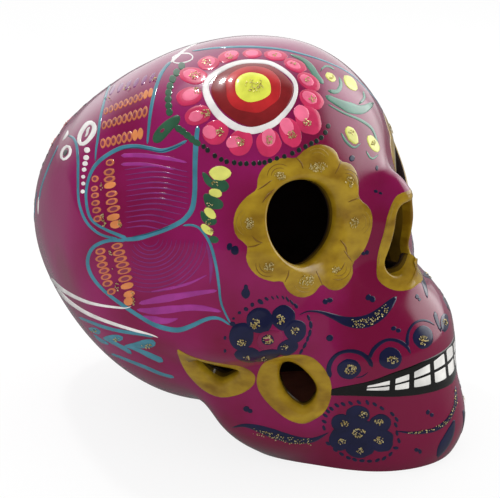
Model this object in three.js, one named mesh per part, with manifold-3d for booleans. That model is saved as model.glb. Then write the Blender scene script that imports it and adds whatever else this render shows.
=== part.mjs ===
// A hollow painted clay skull: two press-moulded halves, a lower jaw and a floor plate,
// luted together, with a cut-out and its gold collar at each eye, the nose and the jaw.
// Millimetres, +Z up. The skull faces -Y, its own right side is -X, and it stands on Z = 0.

import * as THREE from "three";
import { mergeVertices } from "three/addons/utils/BufferGeometryUtils.js";
import Module from "manifold-3d";

const wasm = await Module();
wasm.setup();

// Walls and joints
const wall = 5.2;
const plateRim = 0.8; // how far the floor plate turns up into the jaw wall
const collarGap = 0.3; // between a collar and the clay round it
const collarWeb = 1.5; // narrowest clay left between two collars

// The skin is a soft union of egg shapes. Each has its centre and its half sizes: out is the
// distance from the middle plane, and a form that stands out from it comes as a pair. Blend is
// how far the form runs into the ones before it.
const vault = { out: 0, back: 7.1, up: 63, halfWidth: 60.3, halfDepth: 55.9, halfHeight: 58.9 };
const occiput = {
  out: 0, back: 37.2, up: 60.8, halfWidth: 34.9, halfDepth: 40.1, halfHeight: 38.5, blend: 18,
};
const brow = {
  out: 0, back: -8.5, up: 85, halfWidth: 43.5, halfDepth: 34.3, halfHeight: 37.6, blend: 14,
};
const cheekbone = {
  out: 34, back: -22.1, up: 51.2, halfWidth: 19, halfDepth: 21.2, halfHeight: 15, blend: 12,
};
const cheekArch = {
  out: 44.1, back: -9.3, up: 48, halfWidth: 12, halfDepth: 27.9, halfHeight: 9, blend: 7,
};
const midface = {
  out: 0, back: -33.2, up: 34.8, halfWidth: 36.6, halfDepth: 33, halfHeight: 24.4, blend: 14,
};
const jawBranch = {
  out: 30, back: -25.5, up: 21.5, halfWidth: 14, halfDepth: 21.5, halfHeight: 19, blend: 7,
};
const muzzle = {
  out: 0, back: -46, up: 32.9, halfWidth: 26.9, halfDepth: 25.1, halfHeight: 21, blend: 12,
};
const jaw = {
  out: 0, back: -36.2, up: 9.8, halfWidth: 31.2, halfDepth: 41.8, halfHeight: 28.8, blend: 10,
};
const noseBridge = {
  out: 0, back: -50.6, up: 69.5, halfWidth: 8.5, halfDepth: 9.5, halfHeight: 18, blend: 10,
};
const heel = { out: 0, back: 22, up: 8.6, halfWidth: 11, halfDepth: 18, halfHeight: 9.9, blend: 6 };
const eyeRim = {
  out: 36.5, back: -20, up: 71, halfWidth: 18.5, halfDepth: 19.5, halfHeight: 22, blend: 8,
};
const forms = [
  occiput, brow, cheekbone, cheekArch, midface, jawBranch, muzzle, jaw, noseBridge, heel, eyeRim,
];

// The shallow dish that each eye lies in
const socketDish = {
  out: 34.5, back: -66, up: 80, halfWidth: 22, halfDepth: 25, halfHeight: 21, blend: 7,
};

// The point inside from which the whole skin can be seen
const heart = { out: 0, back: -4.5, up: 50 };

// Where the pieces are luted together
const mouthLine = 30; // height of the joint between the face and the lower jaw
const plateBack = -1; // back edge of the floor plate

// Openings: a point near the skin, the way each one faces in degrees, and its sizes
const eyeOpening = { out: 33.6, back: -38, up: 80, turn: 15, tilt: 12 };
const eyeHoleHalfWidth = 14;
const eyeHoleHalfHeight = 12.8;
const eyeCollarRadius = 23; // to the tips of the petals
const eyeCollarValley = 19.8; // to the notches between them
const petals = 8;

const noseOpening = { out: 0, back: -56, up: 69.5, turn: 0, tilt: 0 };
const noseHoleHalfWidth = 8.8;
const noseHoleHalfHeight = 11;
const noseCollarWidth = 3.4;

const jawOpening = { out: 39.2, back: -40, up: 29.9, turn: 66, tilt: -6 };
const jawHoleHalfWidth = 6.4;
const jawHoleHalfHeight = 9.8;
const jawCollarWidth = 3.9;
const jawHoleLean = 18; // degrees that the oval leans back

const cheekOpening = { out: 45.2, back: -15.6, up: 31, turn: 80, tilt: -20 };
const cheekHoleRadius = 6.2;
const cheekCollarWidth = 4.4;
const cheekCorner = 10; // degrees from level to the front corner

// How far a cutter runs in and out from the skin, and a length beyond the whole skull
const cutIn = 24;
const cutOut = 16;
const far = 4 * vault.halfWidth;

// Fineness of the faceted surfaces
const skinSteps = 12;
const cavitySteps = 7;
const rosetteSteps = 48;
const eyeHoleSteps = 24;
const smallSteps = 20;

// Distance to one egg shape, close to true near its surface
function eggDistance(x, y, z, form) {
  const dx = x - form.out;
  const dy = y - form.back;
  const dz = z - form.up;
  const near = Math.hypot(dx / form.halfWidth, dy / form.halfDepth, dz / form.halfHeight);
  const slope = Math.hypot(
    dx / form.halfWidth ** 2,
    dy / form.halfDepth ** 2,
    dz / form.halfHeight ** 2,
  );
  return slope === 0 ? -form.halfWidth : (near * (near - 1)) / slope;
}

function softMin(a, b, blend) {
  const h = Math.max(blend - Math.abs(a - b), 0) / blend;
  return Math.min(a, b) - (h * h * blend) / 4;
}

function softMax(a, b, blend) {
  return -softMin(-a, -b, blend);
}

// Distance to the skin, below zero inside. The skull is the same on both sides, so one is enough.
function skinDistance(point) {
  const x = Math.abs(point.x);
  let distance = eggDistance(x, point.y, point.z, vault);
  for (const form of forms) {
    const next = eggDistance(x, point.y, point.z, form);
    distance = softMin(distance, next, form.blend);
  }
  const dish = eggDistance(x, point.y, point.z, socketDish);
  return softMax(distance, -dish, socketDish.blend);
}

// The way from a point inside to the skin, less an inset, along a direction
function wayToSkin(start, direction, inset) {
  let inside = 0;
  let outside = far;
  const point = new THREE.Vector3();
  for (let halving = 0; halving < 48; halving += 1) {
    const middle = (inside + outside) / 2;
    point.copy(direction).multiplyScalar(middle).add(start);
    if (skinDistance(point) + inset < 0) inside = middle;
    else outside = middle;
  }
  return inside;
}

// A ball blown up from the heart until it meets the skin, less an inset
function skinGeometry(inset, steps) {
  const start = new THREE.Vector3(heart.out, heart.back, heart.up);
  const ball = new THREE.IcosahedronGeometry(1, steps);
  ball.deleteAttribute("normal");
  ball.deleteAttribute("uv");
  const geometry = mergeVertices(ball);
  const positions = geometry.getAttribute("position");
  const direction = new THREE.Vector3();
  for (let i = 0; i < positions.count; i += 1) {
    direction.fromBufferAttribute(positions, i).normalize();
    direction.multiplyScalar(wayToSkin(start, direction.clone(), inset)).add(start);
    positions.setXYZ(i, direction.x, direction.y, direction.z);
  }
  return geometry;
}

function solidOf(geometry) {
  const bare = geometry.clone();
  bare.deleteAttribute("normal");
  bare.deleteAttribute("uv");
  const merged = mergeVertices(bare);
  return new wasm.Manifold(
    new wasm.Mesh({
      numProp: 3,
      vertProperties: new Float32Array(merged.getAttribute("position").array),
      triVerts: new Uint32Array(merged.getIndex().array),
    }),
  );
}

function geometryOf(solid) {
  const mesh = solid.getMesh();
  const geometry = new THREE.BufferGeometry();
  geometry.setAttribute("position", new THREE.BufferAttribute(mesh.vertProperties, 3));
  geometry.setIndex(new THREE.BufferAttribute(mesh.triVerts, 1));
  geometry.computeVertexNormals();
  return geometry;
}

// A box between two corners
function boxBetween(low, high) {
  const size = new THREE.Vector3().subVectors(high, low);
  const box = new THREE.BoxGeometry(size.x, size.y, size.z);
  box.translate((low.x + high.x) / 2, (low.y + high.y) / 2, (low.z + high.z) / 2);
  return solidOf(box);
}

// Outlines, each a closed ring of points round the middle of its opening
function outlineOf(radiusAt, steps) {
  const points = [];
  for (let i = 0; i < steps; i += 1) {
    const angle = (2 * Math.PI * i) / steps;
    const radius = radiusAt(angle);
    points.push(new THREE.Vector2(radius * Math.cos(angle), radius * Math.sin(angle)));
  }
  return points;
}

function ovalOutline(halfWidth, halfHeight, lean, steps) {
  const points = [];
  const turn = THREE.MathUtils.degToRad(lean);
  for (let i = 0; i < steps; i += 1) {
    const angle = (2 * Math.PI * i) / steps;
    const point = new THREE.Vector2(halfWidth * Math.cos(angle), halfHeight * Math.sin(angle));
    points.push(point.rotateAround(new THREE.Vector2(), turn));
  }
  return points;
}

// Eight round petals with a notch between each two
function rosetteOutline() {
  const petalRise = eyeCollarRadius - eyeCollarValley;
  return outlineOf((angle) => {
    const bow = Math.abs(Math.cos((petals / 2) * angle));
    return eyeCollarValley + petalRise * Math.sqrt(bow);
  }, rosetteSteps);
}

// A triangle with soft corners
function threeCornerOutline(radius) {
  const corner = THREE.MathUtils.degToRad(cheekCorner);
  const cornerShare = 0.16;
  return outlineOf((angle) => radius * (1 + cornerShare * Math.cos(3 * (angle - corner))), smallSteps);
}

// A closed curve through a right half, given from the top down in shares of a half width and
// half height, and through its mirror image
function mirroredOutline(halfShares, halfWidth, halfHeight) {
  const right = halfShares.map(([x, y]) => new THREE.Vector2(x * halfWidth, y * halfHeight));
  const left = right.slice(1, -1).reverse().map((point) => new THREE.Vector2(-point.x, point.y));
  const ring = [...right, ...left].reverse();
  ring.push(ring[0]);
  return new THREE.SplineCurve(ring).getPoints(2 * smallSteps).slice(1);
}

// The nose hole is an upside-down heart, whose notch is the spine of clay at its foot
const noseHoleShares = [
  [0, 1],
  [0.4, 0.96],
  [0.62, 0.75],
  [0.76, 0.3],
  [0.88, -0.2],
  [1, -0.66],
  [0.88, -0.94],
  [0.5, -1],
  [0.2, -0.8],
  [0, -0.5],
];
const noseRimShares = [
  [0, 1],
  [0.4, 0.94],
  [0.66, 0.6],
  [0.8, 0.1],
  [0.92, -0.45],
  [1, -0.8],
  [0.8, -1],
  [0.4, -1.04],
  [0, -1],
];

// The same outline, moved outwards along its own normals
function grown(points, distance) {
  return points.map((point, i) => {
    const before = points[(i + points.length - 1) % points.length];
    const after = points[(i + 1) % points.length];
    const along = new THREE.Vector2().subVectors(after, before).normalize();
    return new THREE.Vector2(point.x + along.y * distance, point.y - along.x * distance);
  });
}

// A cutter with the given outline, square to the way that the opening faces
function cutterOf(outline, opening, side) {
  const turn = side * THREE.MathUtils.degToRad(opening.turn);
  const tilt = THREE.MathUtils.degToRad(opening.tilt);
  const across = new THREE.Vector3(Math.cos(turn), Math.sin(turn), 0);
  const outwards = new THREE.Vector3(
    Math.sin(turn) * Math.cos(tilt),
    -Math.cos(turn) * Math.cos(tilt),
    Math.sin(tilt),
  );
  const upwards = new THREE.Vector3().crossVectors(outwards, across);
  const start = new THREE.Vector3(side * opening.out, opening.back, opening.up);
  start.addScaledVector(outwards, -2 * wall);
  const onSkin = start.clone().addScaledVector(outwards, wayToSkin(start, outwards, 0));
  const shape = new THREE.Shape(outline.map((point) => new THREE.Vector2(-side * point.x, point.y)));
  const cutter = new THREE.ExtrudeGeometry(shape, { depth: cutIn + cutOut, bevelEnabled: false });
  const place = new THREE.Matrix4().makeBasis(across, upwards, outwards);
  place.setPosition(onSkin.addScaledVector(outwards, -cutIn));
  cutter.applyMatrix4(place);
  return solidOf(cutter);
}

// The space above a level
function above(level) {
  return boxBetween(new THREE.Vector3(-far, -far, level), new THREE.Vector3(far, far, far));
}

// The wall of the whole skull, before it is pierced and parted. It is cut flat where it stands.
const skin = solidOf(skinGeometry(0, skinSteps)).intersect(above(0));
const cavity = solidOf(skinGeometry(wall, cavitySteps)).intersect(above(wall));
const clay = skin.subtract(cavity);

// One collar: the clay between its hole and its rim. Others keep clear of it by the web.
function collarOf(opening, hole, rim, side, keepClear) {
  let solid = clay.intersect(cutterOf(rim, opening, side));
  solid = solid.subtract(cutterOf(hole, opening, side));
  for (const neighbour of keepClear) solid = solid.subtract(neighbour);
  return { solid, room: cutterOf(grown(rim, collarGap), opening, side) };
}

const noseHole = mirroredOutline(noseHoleShares, noseHoleHalfWidth, noseHoleHalfHeight);
const noseRim = mirroredOutline(
  noseRimShares,
  noseHoleHalfWidth + noseCollarWidth,
  noseHoleHalfHeight + noseCollarWidth,
);
const eyeHole = ovalOutline(eyeHoleHalfWidth, eyeHoleHalfHeight, 0, eyeHoleSteps);
const jawHole = ovalOutline(jawHoleHalfWidth, jawHoleHalfHeight, jawHoleLean, smallSteps);
const jawRim = grown(jawHole, jawCollarWidth);
const cheekHole = threeCornerOutline(cheekHoleRadius);
const cheekRim = threeCornerOutline(cheekHoleRadius + cheekCollarWidth);

const collars = { nose_collar: collarOf(noseOpening, noseHole, noseRim, -1, []) };
const noseGuard = cutterOf(grown(noseRim, collarGap + collarWeb), noseOpening, -1);
for (const [sideName, side] of [["right", -1], ["left", 1]]) {
  const jawGuard = cutterOf(grown(jawRim, collarGap + collarWeb), jawOpening, side);
  collars[`${sideName}_eye_collar`] = collarOf(
    eyeOpening, eyeHole, rosetteOutline(), side, [noseGuard],
  );
  collars[`${sideName}_jaw_collar`] = collarOf(jawOpening, jawHole, jawRim, side, []);
  collars[`${sideName}_cheek_collar`] = collarOf(
    cheekOpening, cheekHole, cheekRim, side, [jawGuard],
  );
}

// The clay that is left round the collars is parted where its pieces are luted together
let body = clay;
for (const collar of Object.values(collars)) body = body.subtract(collar.room);

const seam = vault.back; // the moulds part at the widest place
const behindSeam = boxBetween(new THREE.Vector3(-far, seam, -far), new THREE.Vector3(far, far, far));
const aboveMouth = above(mouthLine);
const underJaw = boxBetween(
  new THREE.Vector3(-far, -far, -far),
  new THREE.Vector3(far, plateBack, wall + plateRim),
);
const front = body.subtract(behindSeam);
const lowerFront = front.subtract(aboveMouth);

const magentaGlaze = { color: 0x8c1f56, roughness: 0.18, metalness: 0 };
const goldEnamel = { color: 0xa08a28, roughness: 0.35, metalness: 0.1 };
const bareClay = { color: 0x7a3a2a, roughness: 0.9, metalness: 0 };

const skull = new THREE.Group();

function addPiece(name, solid, finish) {
  const mesh = new THREE.Mesh(geometryOf(solid), new THREE.MeshStandardMaterial(finish));
  mesh.name = name;
  skull.add(mesh);
}

addPiece("face_shell", front.intersect(aboveMouth), magentaGlaze);
addPiece("cranium_shell", body.intersect(behindSeam), magentaGlaze);
addPiece("lower_jaw", lowerFront.subtract(underJaw), magentaGlaze);
addPiece("base_plate", lowerFront.intersect(underJaw), bareClay);
for (const [name, collar] of Object.entries(collars)) addPiece(name, collar.solid, goldEnamel);

export default skull;
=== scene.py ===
# Looks of a hollow painted clay skull. Shapes are worked out in millimetres on the same skin as
# the solids, and the brush strokes are placed by pixels of the photograph, 500 by 498.

import math

import bmesh
import bpy
import numpy as np
from mathutils import Matrix


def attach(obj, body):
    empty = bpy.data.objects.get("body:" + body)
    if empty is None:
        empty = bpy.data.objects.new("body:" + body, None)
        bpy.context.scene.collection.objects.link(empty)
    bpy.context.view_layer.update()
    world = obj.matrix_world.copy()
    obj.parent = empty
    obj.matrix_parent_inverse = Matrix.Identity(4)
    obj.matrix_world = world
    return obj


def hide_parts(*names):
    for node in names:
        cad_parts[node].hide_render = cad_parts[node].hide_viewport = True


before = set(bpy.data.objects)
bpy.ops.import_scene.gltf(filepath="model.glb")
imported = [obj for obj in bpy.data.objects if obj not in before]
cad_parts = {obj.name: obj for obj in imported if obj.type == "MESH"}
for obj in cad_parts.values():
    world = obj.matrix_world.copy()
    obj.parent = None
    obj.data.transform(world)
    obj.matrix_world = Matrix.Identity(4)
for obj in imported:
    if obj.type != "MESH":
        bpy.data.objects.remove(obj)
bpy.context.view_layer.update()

MM = 0.001
chance = np.random.default_rng(7)


# Views: the photograph's camera, and others that place strokes on sides it doesn't show

picture_middle = np.array([250.0, 249.0])
focal_pixels = 1342.0
picture_width = 500
sensor_width = 36.0


def view_from(turn, rise, roll, distance, target):
    turn, rise, roll = np.radians([turn, rise, roll])
    flat = math.cos(rise)
    back = np.array([math.sin(turn) * flat, -math.cos(turn) * flat, math.sin(rise)])
    level = np.array([math.cos(turn), math.sin(turn), 0.0])
    upright = np.cross(back, level)
    right = level * math.cos(roll) + upright * math.sin(roll)
    up = upright * math.cos(roll) - level * math.sin(roll)
    eye = np.array(target) + back * distance
    return {"eye": eye, "right": right, "up": up, "back": back}


photo_view = {"turn": -61.104, "rise": 19.358, "roll": 0.941, "distance": 447.0,
              "target": (4.075, 0.669, 53.367)}
rear_view = {"turn": 180.0, "rise": 14.0, "roll": 0.0, "distance": 447.0,
             "target": (0.0, 0.0, 58.0)}
photo = view_from(**photo_view)
rear = view_from(**rear_view)

clip_near = 0.01
clip_far = 20.0


def new_object(name, data):
    piece = bpy.data.objects.new(name, data)
    bpy.context.collection.objects.link(piece)
    return piece


def stand_at(piece, view):
    """Puts a camera or a lamp at a view's eye, looking along it."""
    turn = np.eye(4)
    turn[:3, 0] = view["right"]
    turn[:3, 1] = view["up"]
    turn[:3, 2] = view["back"]
    turn[:3, 3] = view["eye"] * MM
    piece.matrix_world = Matrix(turn.tolist())


def make_camera():
    data = bpy.data.cameras.new("camera")
    data.sensor_width = sensor_width
    data.lens = focal_pixels / picture_width * sensor_width
    data.clip_start = clip_near
    data.clip_end = clip_far
    camera = new_object("camera", data)
    stand_at(camera, photo)
    bpy.context.scene.camera = camera


make_camera()


# The skin: a soft union of egg shapes, the same on both sides, a little uneven by hand

wall = 5.2
vault = {"at": (0, 7.1, 63), "half": (60.3, 55.9, 58.9)}
forms = [
    {"at": (0, 37.2, 60.8), "half": (34.9, 40.1, 38.5), "blend": 18},
    {"at": (0, -8.5, 85), "half": (43.5, 34.3, 37.6), "blend": 14},
    {"at": (34, -22.1, 51.2), "half": (19, 21.2, 15), "blend": 12},
    {"at": (44.1, -9.3, 48), "half": (12, 27.9, 9), "blend": 7},
    {"at": (0, -33.2, 34.8), "half": (36.6, 33, 24.4), "blend": 14},
    {"at": (30, -25.5, 21.5), "half": (14, 21.5, 19), "blend": 7},
    {"at": (0, -46, 32.9), "half": (26.9, 25.1, 21), "blend": 12},
    {"at": (0, -36.2, 9.8), "half": (31.2, 41.8, 28.8), "blend": 10},
    {"at": (0, -50.6, 69.5), "half": (8.5, 9.5, 18), "blend": 10},
    {"at": (0, 22, 8.6), "half": (11, 18, 9.9), "blend": 6},
    {"at": (36.5, -20, 71), "half": (18.5, 19.5, 22), "blend": 8},
]
socket_dish = {"at": (34.5, -66, 80), "half": (22, 25, 21), "blend": 7}
heart = np.array([0.0, -4.5, 50.0])
seam = vault["at"][1]
mouth_line = 30
plate_back = -1
plate_top = 6.0

wave_count = 12
wave_height = 0.035
wave_long = 46.0
wave_short = 15.0
wave_ways = chance.normal(size=(wave_count, 3))
wave_ways /= np.linalg.norm(wave_ways, axis=1, keepdims=True)
wave_ways *= 2 * math.pi / chance.uniform(wave_short, wave_long, size=(wave_count, 1))
wave_starts = chance.uniform(0, 2 * math.pi, size=wave_count)

all_forms = [vault] + forms
form_middles = np.array([form["at"] for form in all_forms], float)
form_halves = np.array([form["half"] for form in all_forms], float)
form_squares = form_halves**2
dish_middle = np.array(socket_dish["at"], float)
dish_half = np.array(socket_dish["half"], float)

tiny = 1e-9


def egg_distance(away, half, square):
    near = np.linalg.norm(away / half, axis=-1)
    slope = np.maximum(np.linalg.norm(away / square, axis=-1), tiny)
    return near * (near - 1) / slope


def soft_min(a, b, blend):
    h = np.maximum(blend - np.abs(a - b), 0) / blend
    return np.minimum(a, b) - h * h * blend / 4


def skin_distance(points):
    folded = points * 1.0
    folded[..., 0] = np.abs(folded[..., 0])
    eggs = egg_distance(folded[..., None, :] - form_middles, form_halves, form_squares)
    distance = eggs[..., 0]
    for number, form in enumerate(forms, start=1):
        distance = soft_min(distance, eggs[..., number], form["blend"])
    dish = egg_distance(folded - dish_middle, dish_half, dish_half**2)
    distance = -soft_min(-distance, dish, socket_dish["blend"])
    waves = np.sin(points @ wave_ways.T + wave_starts).sum(axis=-1)
    return distance + wave_height * waves


slope_step = 0.05
settle_rounds = 5


def skin_slope(points):
    parts = []
    for axis in range(3):
        shift = np.zeros(3)
        shift[axis] = slope_step
        parts.append(skin_distance(points + shift) - skin_distance(points - shift))
    slope = np.stack(parts, axis=-1)
    return slope / np.maximum(np.linalg.norm(slope, axis=-1, keepdims=True), tiny)


def settle(points, depth=0.0):
    """The nearest points of the skin, or of a surface that lies deeper."""
    for _ in range(settle_rounds):
        points = points - (skin_distance(points) + depth)[..., None] * skin_slope(points)
    return points


# How lines are followed to the skin, and how far from a view's eye the search starts
march_rounds = 90
march_share = 0.7
longest_step = 12
gone_past = 40
close_enough = 0.004

view_start = 340.0


def march(starts, ways, first=0.0, depth=0.0):
    """Where lines first meet the skin, or the skin nearest to the lines that miss it."""
    reach = np.full(starts.shape[:-1], float(first))
    best = reach.copy()
    least = np.full_like(reach, np.inf)
    for _ in range(march_rounds):
        gap = skin_distance(starts + ways * reach[..., None]) + depth
        closer = gap < least
        best = np.where(closer, reach, best)
        least = np.where(closer, gap, least)
        step = np.clip(gap, 0, longest_step) * march_share
        step = np.where(reach > best + gone_past, 0, step)
        reach = reach + step
        if step.max() < close_enough:
            break
    return starts + ways * best[..., None]


def last_inside(start, ways, reach, rounds, depth=0.0):
    """How far lines from a point within run before they leave the skin, less a depth."""
    inside = np.zeros(len(ways))
    outside = np.full(len(ways), float(reach))
    for _ in range(rounds):
        middle = (inside + outside) / 2
        within = skin_distance(start + ways * middle[:, None]) + depth < 0
        inside = np.where(within, middle, inside)
        outside = np.where(within, outside, middle)
    return inside


def on_skin(view, pixels, exact=True):
    pixels = np.asarray(pixels, float)
    x = (pixels[..., 0] - picture_middle[0]) / focal_pixels
    y = (picture_middle[1] - pixels[..., 1]) / focal_pixels
    ways = x[..., None] * view["right"] + y[..., None] * view["up"] - view["back"]
    ways /= np.linalg.norm(ways, axis=-1, keepdims=True)
    starts = np.broadcast_to(view["eye"], ways.shape)
    spots = march(starts, ways, first=view_start)
    return settle(spots) if exact else spots


# Meshes


def mesh_object(name, points, faces):
    mesh = bpy.data.meshes.new(name)
    mesh.from_pydata((np.asarray(points) * MM).tolist(), [], faces)
    mesh.shade_smooth()
    return new_object(name, mesh)


def read_all(items, field, width=1, kind=np.float64):
    """One field of all of a mesh's points, corners or faces."""
    values = np.zeros(len(items) * width, dtype=kind)
    items.foreach_get(field, values)
    return values.reshape(-1, width) if width > 1 else values


def tube_faces(rings, count, closed=False, capped=True):
    """Faces between rings of points, in order, joined end to end or capped."""
    faces = []
    for r in range(rings if closed else rings - 1):
        a = r * count
        b = (r + 1) % rings * count
        for k in range(count):
            m = (k + 1) % count
            faces.append((a + k, a + m, b + m, b + k))
    if capped and not closed:
        faces.append(tuple(range(count))[::-1])
        faces.append(tuple(range((rings - 1) * count, rings * count)))
    return faces


def boolean(piece, other, how):
    step = piece.modifiers.new("cut", "BOOLEAN")
    step.object = other
    step.operation = how
    step.solver = "MANIFOLD"
    bpy.context.view_layer.update()
    graph = bpy.context.evaluated_depsgraph_get()
    mesh = bpy.data.meshes.new_from_object(piece.evaluated_get(graph))
    piece.modifiers.clear()
    old = piece.data
    piece.data = mesh
    bpy.data.meshes.remove(old)
    return piece


def copy_of(piece, name):
    return new_object(name, piece.data.copy())


def drop(*pieces):
    for piece in pieces:
        mesh = piece.data
        bpy.data.objects.remove(piece)
        bpy.data.meshes.remove(mesh)


box_faces = [(0, 1, 3, 2), (4, 6, 7, 5), (0, 4, 5, 1), (2, 3, 7, 6), (0, 2, 6, 4), (1, 5, 7, 3)]


def box_piece(low, high):
    low = np.array(low, float)
    high = np.array(high, float)
    shares = [(x, y, z) for x in (0, 1) for y in (0, 1) for z in (0, 1)]
    points = [low + np.array(share) * (high - low) for share in shares]
    return mesh_object("box", points, box_faces)


far = 240
ball_rounds = 26
even_rounds = 6
even_share = 0.6


def ball_piece(depth, splits):
    """A ball blown up from the heart until it meets the skin, less a depth, then evened out."""
    ball = bmesh.new()
    bmesh.ops.create_icosphere(ball, subdivisions=splits, radius=1.0)
    ways = np.array([v.co[:] for v in ball.verts])
    ways /= np.linalg.norm(ways, axis=1, keepdims=True)
    links = np.array([[v.index for v in e.verts] for e in ball.edges])
    faces = [[v.index for v in f.verts] for f in ball.faces]
    ball.free()
    points = heart + ways * last_inside(heart, ways, far, ball_rounds, depth)[:, None]
    counts = np.bincount(links.ravel(), minlength=len(points))[:, None]
    for _ in range(even_rounds):
        sums = np.zeros_like(points)
        np.add.at(sums, links[:, 0], points[links[:, 1]])
        np.add.at(sums, links[:, 1], points[links[:, 0]])
        points = points + even_share * (sums / counts - points)
        slope = skin_slope(points)
        points = points - (skin_distance(points) + depth)[:, None] * slope
    return mesh_object("ball", settle(points, depth), faces)


# Openings and their gold collars

hole_steps = 96
lip = 2.3
inner_lip = 1.2
collar_rise = 0.16
collar_overlap = 0.25
collar_face_shares = [
    (0.0, -0.6), (0.03, 0.3), (0.08, 0.85), (0.18, 1.0), (0.32, 1.0), (0.46, 1.0), (0.6, 0.95),
    (0.74, 0.8), (0.87, 0.45), (1.0, 0.0),
]
lip_steps = 6
wall_steps = 4
inner_lip_steps = 3
inner_face_shares = (0.3, 0.65, 1.0)
lip_rows = len(collar_face_shares) + lip_steps
# The left eye keeps gold on fewer lip rows: on its last lip rows, short of a share of the half width,
# it takes the near-black clay as painted shade, so that its far wall reads dark
left_eye_lip_rows = 12
left_eye_shade_share = -0.5
# Rows of the cut wall: a finish, and the share of the half width beyond which an eye has it. The
# finishes are golds darkened deeper in as painted shade; short of the share an eye's wall takes the
# near-black clay, also painted shade
wall_rows = ((2, -0.5), (2, -0.3), (3, -0.1))
cut_in = 24
cut_out = 16
axis_reach = 60.0
axis_rounds = 30

eye_opening = {"at": (33.6, -38, 80), "turn": 15, "tilt": 12}
nose_opening = {"at": (0, -56, 69.5), "turn": 0, "tilt": 0}
jaw_opening = {"at": (39.2, -40, 29.9), "turn": 66, "tilt": -6}
cheek_opening = {"at": (45.2, -15.6, 31), "turn": 80, "tilt": -20}


def opening_frame(opening, side):
    turn = side * math.radians(opening["turn"])
    tilt = math.radians(opening["tilt"])
    across = np.array([math.cos(turn), math.sin(turn), 0.0])
    flat = math.cos(tilt)
    outwards = np.array([math.sin(turn) * flat, -math.cos(turn) * flat, math.sin(tilt)])
    upwards = np.cross(outwards, across)
    start = np.array(opening["at"], float) * (side, 1, 1) - 2 * wall * outwards
    reach = last_inside(start, outwards[None], axis_reach, axis_rounds)[0]
    return start + outwards * reach, across, upwards, outwards


loop_splits = 12
path_splits = 10


def curve_through(a, b, c, d, splits):
    """Points of smooth curves from each b to each c, with the points before and after them."""
    a, b, c, d = (part[:, None] for part in (a, b, c, d))
    t = np.linspace(0, 1, splits, endpoint=False)[:, None]
    spots = 0.5 * (2 * b + (c - a) * t + (2 * a - 5 * b + 4 * c - d) * t**2
                   + (3 * b - a - 3 * c + d) * t**3)
    return spots.reshape(-1, spots.shape[-1])


def smooth_loop(points, steps):
    """A closed curve through points, with even steps along it."""
    points = np.asarray(points, float)
    a, b, c, d = (np.roll(points, 1 - k, axis=0) for k in range(4))
    return even_steps(curve_through(a, b, c, d, loop_splits), steps, closed=True)


def smooth_path(points, steps):
    """An open curve through points, with even steps along it."""
    points = np.asarray(points, float)
    if len(points) < 3:
        return even_steps(points, steps)
    ends = np.vstack([2 * points[0] - points[1], points, 2 * points[-1] - points[-2]])
    a, b, c, d = (ends[k:len(points) - 1 + k] for k in range(4))
    return even_steps(np.vstack([curve_through(a, b, c, d, path_splits), points[-1:]]), steps)


def even_steps(points, steps, closed=False):
    ring = np.vstack([points, points[:1]]) if closed else points
    lengths = np.r_[0, np.cumsum(np.linalg.norm(np.diff(ring, axis=0), axis=1))]
    marks = np.linspace(0, lengths[-1], steps, endpoint=not closed)
    return np.stack([np.interp(marks, lengths, ring[:, k]) for k in range(ring.shape[1])], axis=-1)


def oval_outline(half_width, half_height):
    angles = np.linspace(0, 2 * math.pi, hole_steps, endpoint=False)
    return np.stack([half_width * np.cos(angles), half_height * np.sin(angles)], axis=-1)


pixel_steps = 160


def pixel_outline(opening, pixels):
    """An outline seen in the photograph, as radii round the near opening's middle."""
    middle, across, upwards, _ = opening_frame(opening, -1)
    spots = on_skin(photo, smooth_loop(pixels, pixel_steps)) - middle
    flat = np.stack([spots @ across, spots @ upwards], axis=-1)
    angles = np.arctan2(flat[:, 1], flat[:, 0])
    order = np.argsort(angles)
    radii = np.linalg.norm(flat, axis=1)[order]
    angles = angles[order]
    wanted = np.linspace(0, 2 * math.pi, hole_steps, endpoint=False)
    wanted = (wanted + math.pi) % (2 * math.pi) - math.pi
    radii = np.interp(wanted, angles, radii, period=2 * math.pi)
    return np.stack([radii * np.cos(wanted), radii * np.sin(wanted)], axis=-1)


def following(outline):
    """The next point after each point of a closed outline."""
    return np.roll(outline, -1, axis=0)


def grown(outline, distance):
    along = following(outline) - np.roll(outline, 1, axis=0)
    along /= np.maximum(np.linalg.norm(along, axis=1, keepdims=True), tiny)
    return outline + np.stack([along[:, 1], -along[:, 0]], axis=-1) * distance


def mirrored_outline(half_shares, half_width, half_height):
    right = np.array(half_shares, float) * (half_width, half_height)
    left = right[1:-1][::-1] * (-1, 1)
    ring = np.vstack([right, left])[::-1]
    return smooth_loop(ring, hole_steps)


def matched(outline, angle):
    """The same outline, begun at its point nearest to an angle, so that two outlines pair up."""
    angles = np.arctan2(outline[:, 1], outline[:, 0])
    gaps = np.abs((angles - angle + math.pi) % (2 * math.pi) - math.pi)
    return np.roll(outline, -int(np.argmin(gaps)), axis=0)


rosette_pixels = [
    (256.7, 189.6), (247, 197), (238, 208), (234.2, 222), (237, 236), (247.6, 246), (246.5, 257),
    (250, 267), (259, 276.5), (273, 281.4), (283, 281), (286, 288), (294, 295), (304, 297),
    (314, 293), (322, 284), (330, 289.5), (340, 289), (348, 282), (352.8, 272), (352.5, 263),
    (361, 254), (368, 240), (372, 222), (369, 208), (359, 198), (358.5, 183), (356, 172),
    (350, 164), (340, 161), (336, 152), (328, 146.5), (317, 145), (305, 150), (296, 158),
    (284, 158), (271, 162), (262, 170), (257.8, 180),
]
jaw_rim_pixels = [
    (257.5, 381), (262, 366), (273, 359), (289.8, 355.3), (306.3, 356), (318, 362.7), (328, 376),
    (331.2, 389.3), (329, 402.5), (322.9, 413), (311.3, 420.8), (301.4, 423.3), (288, 419),
    (273, 407.5), (261.6, 394),
]
jaw_hole_pixels = [
    (276, 380), (278.5, 367), (286, 362), (296, 364), (306, 371), (315, 381), (319, 391),
    (317, 401), (310, 410), (301, 412.5), (290, 406), (281, 395),
]
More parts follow.
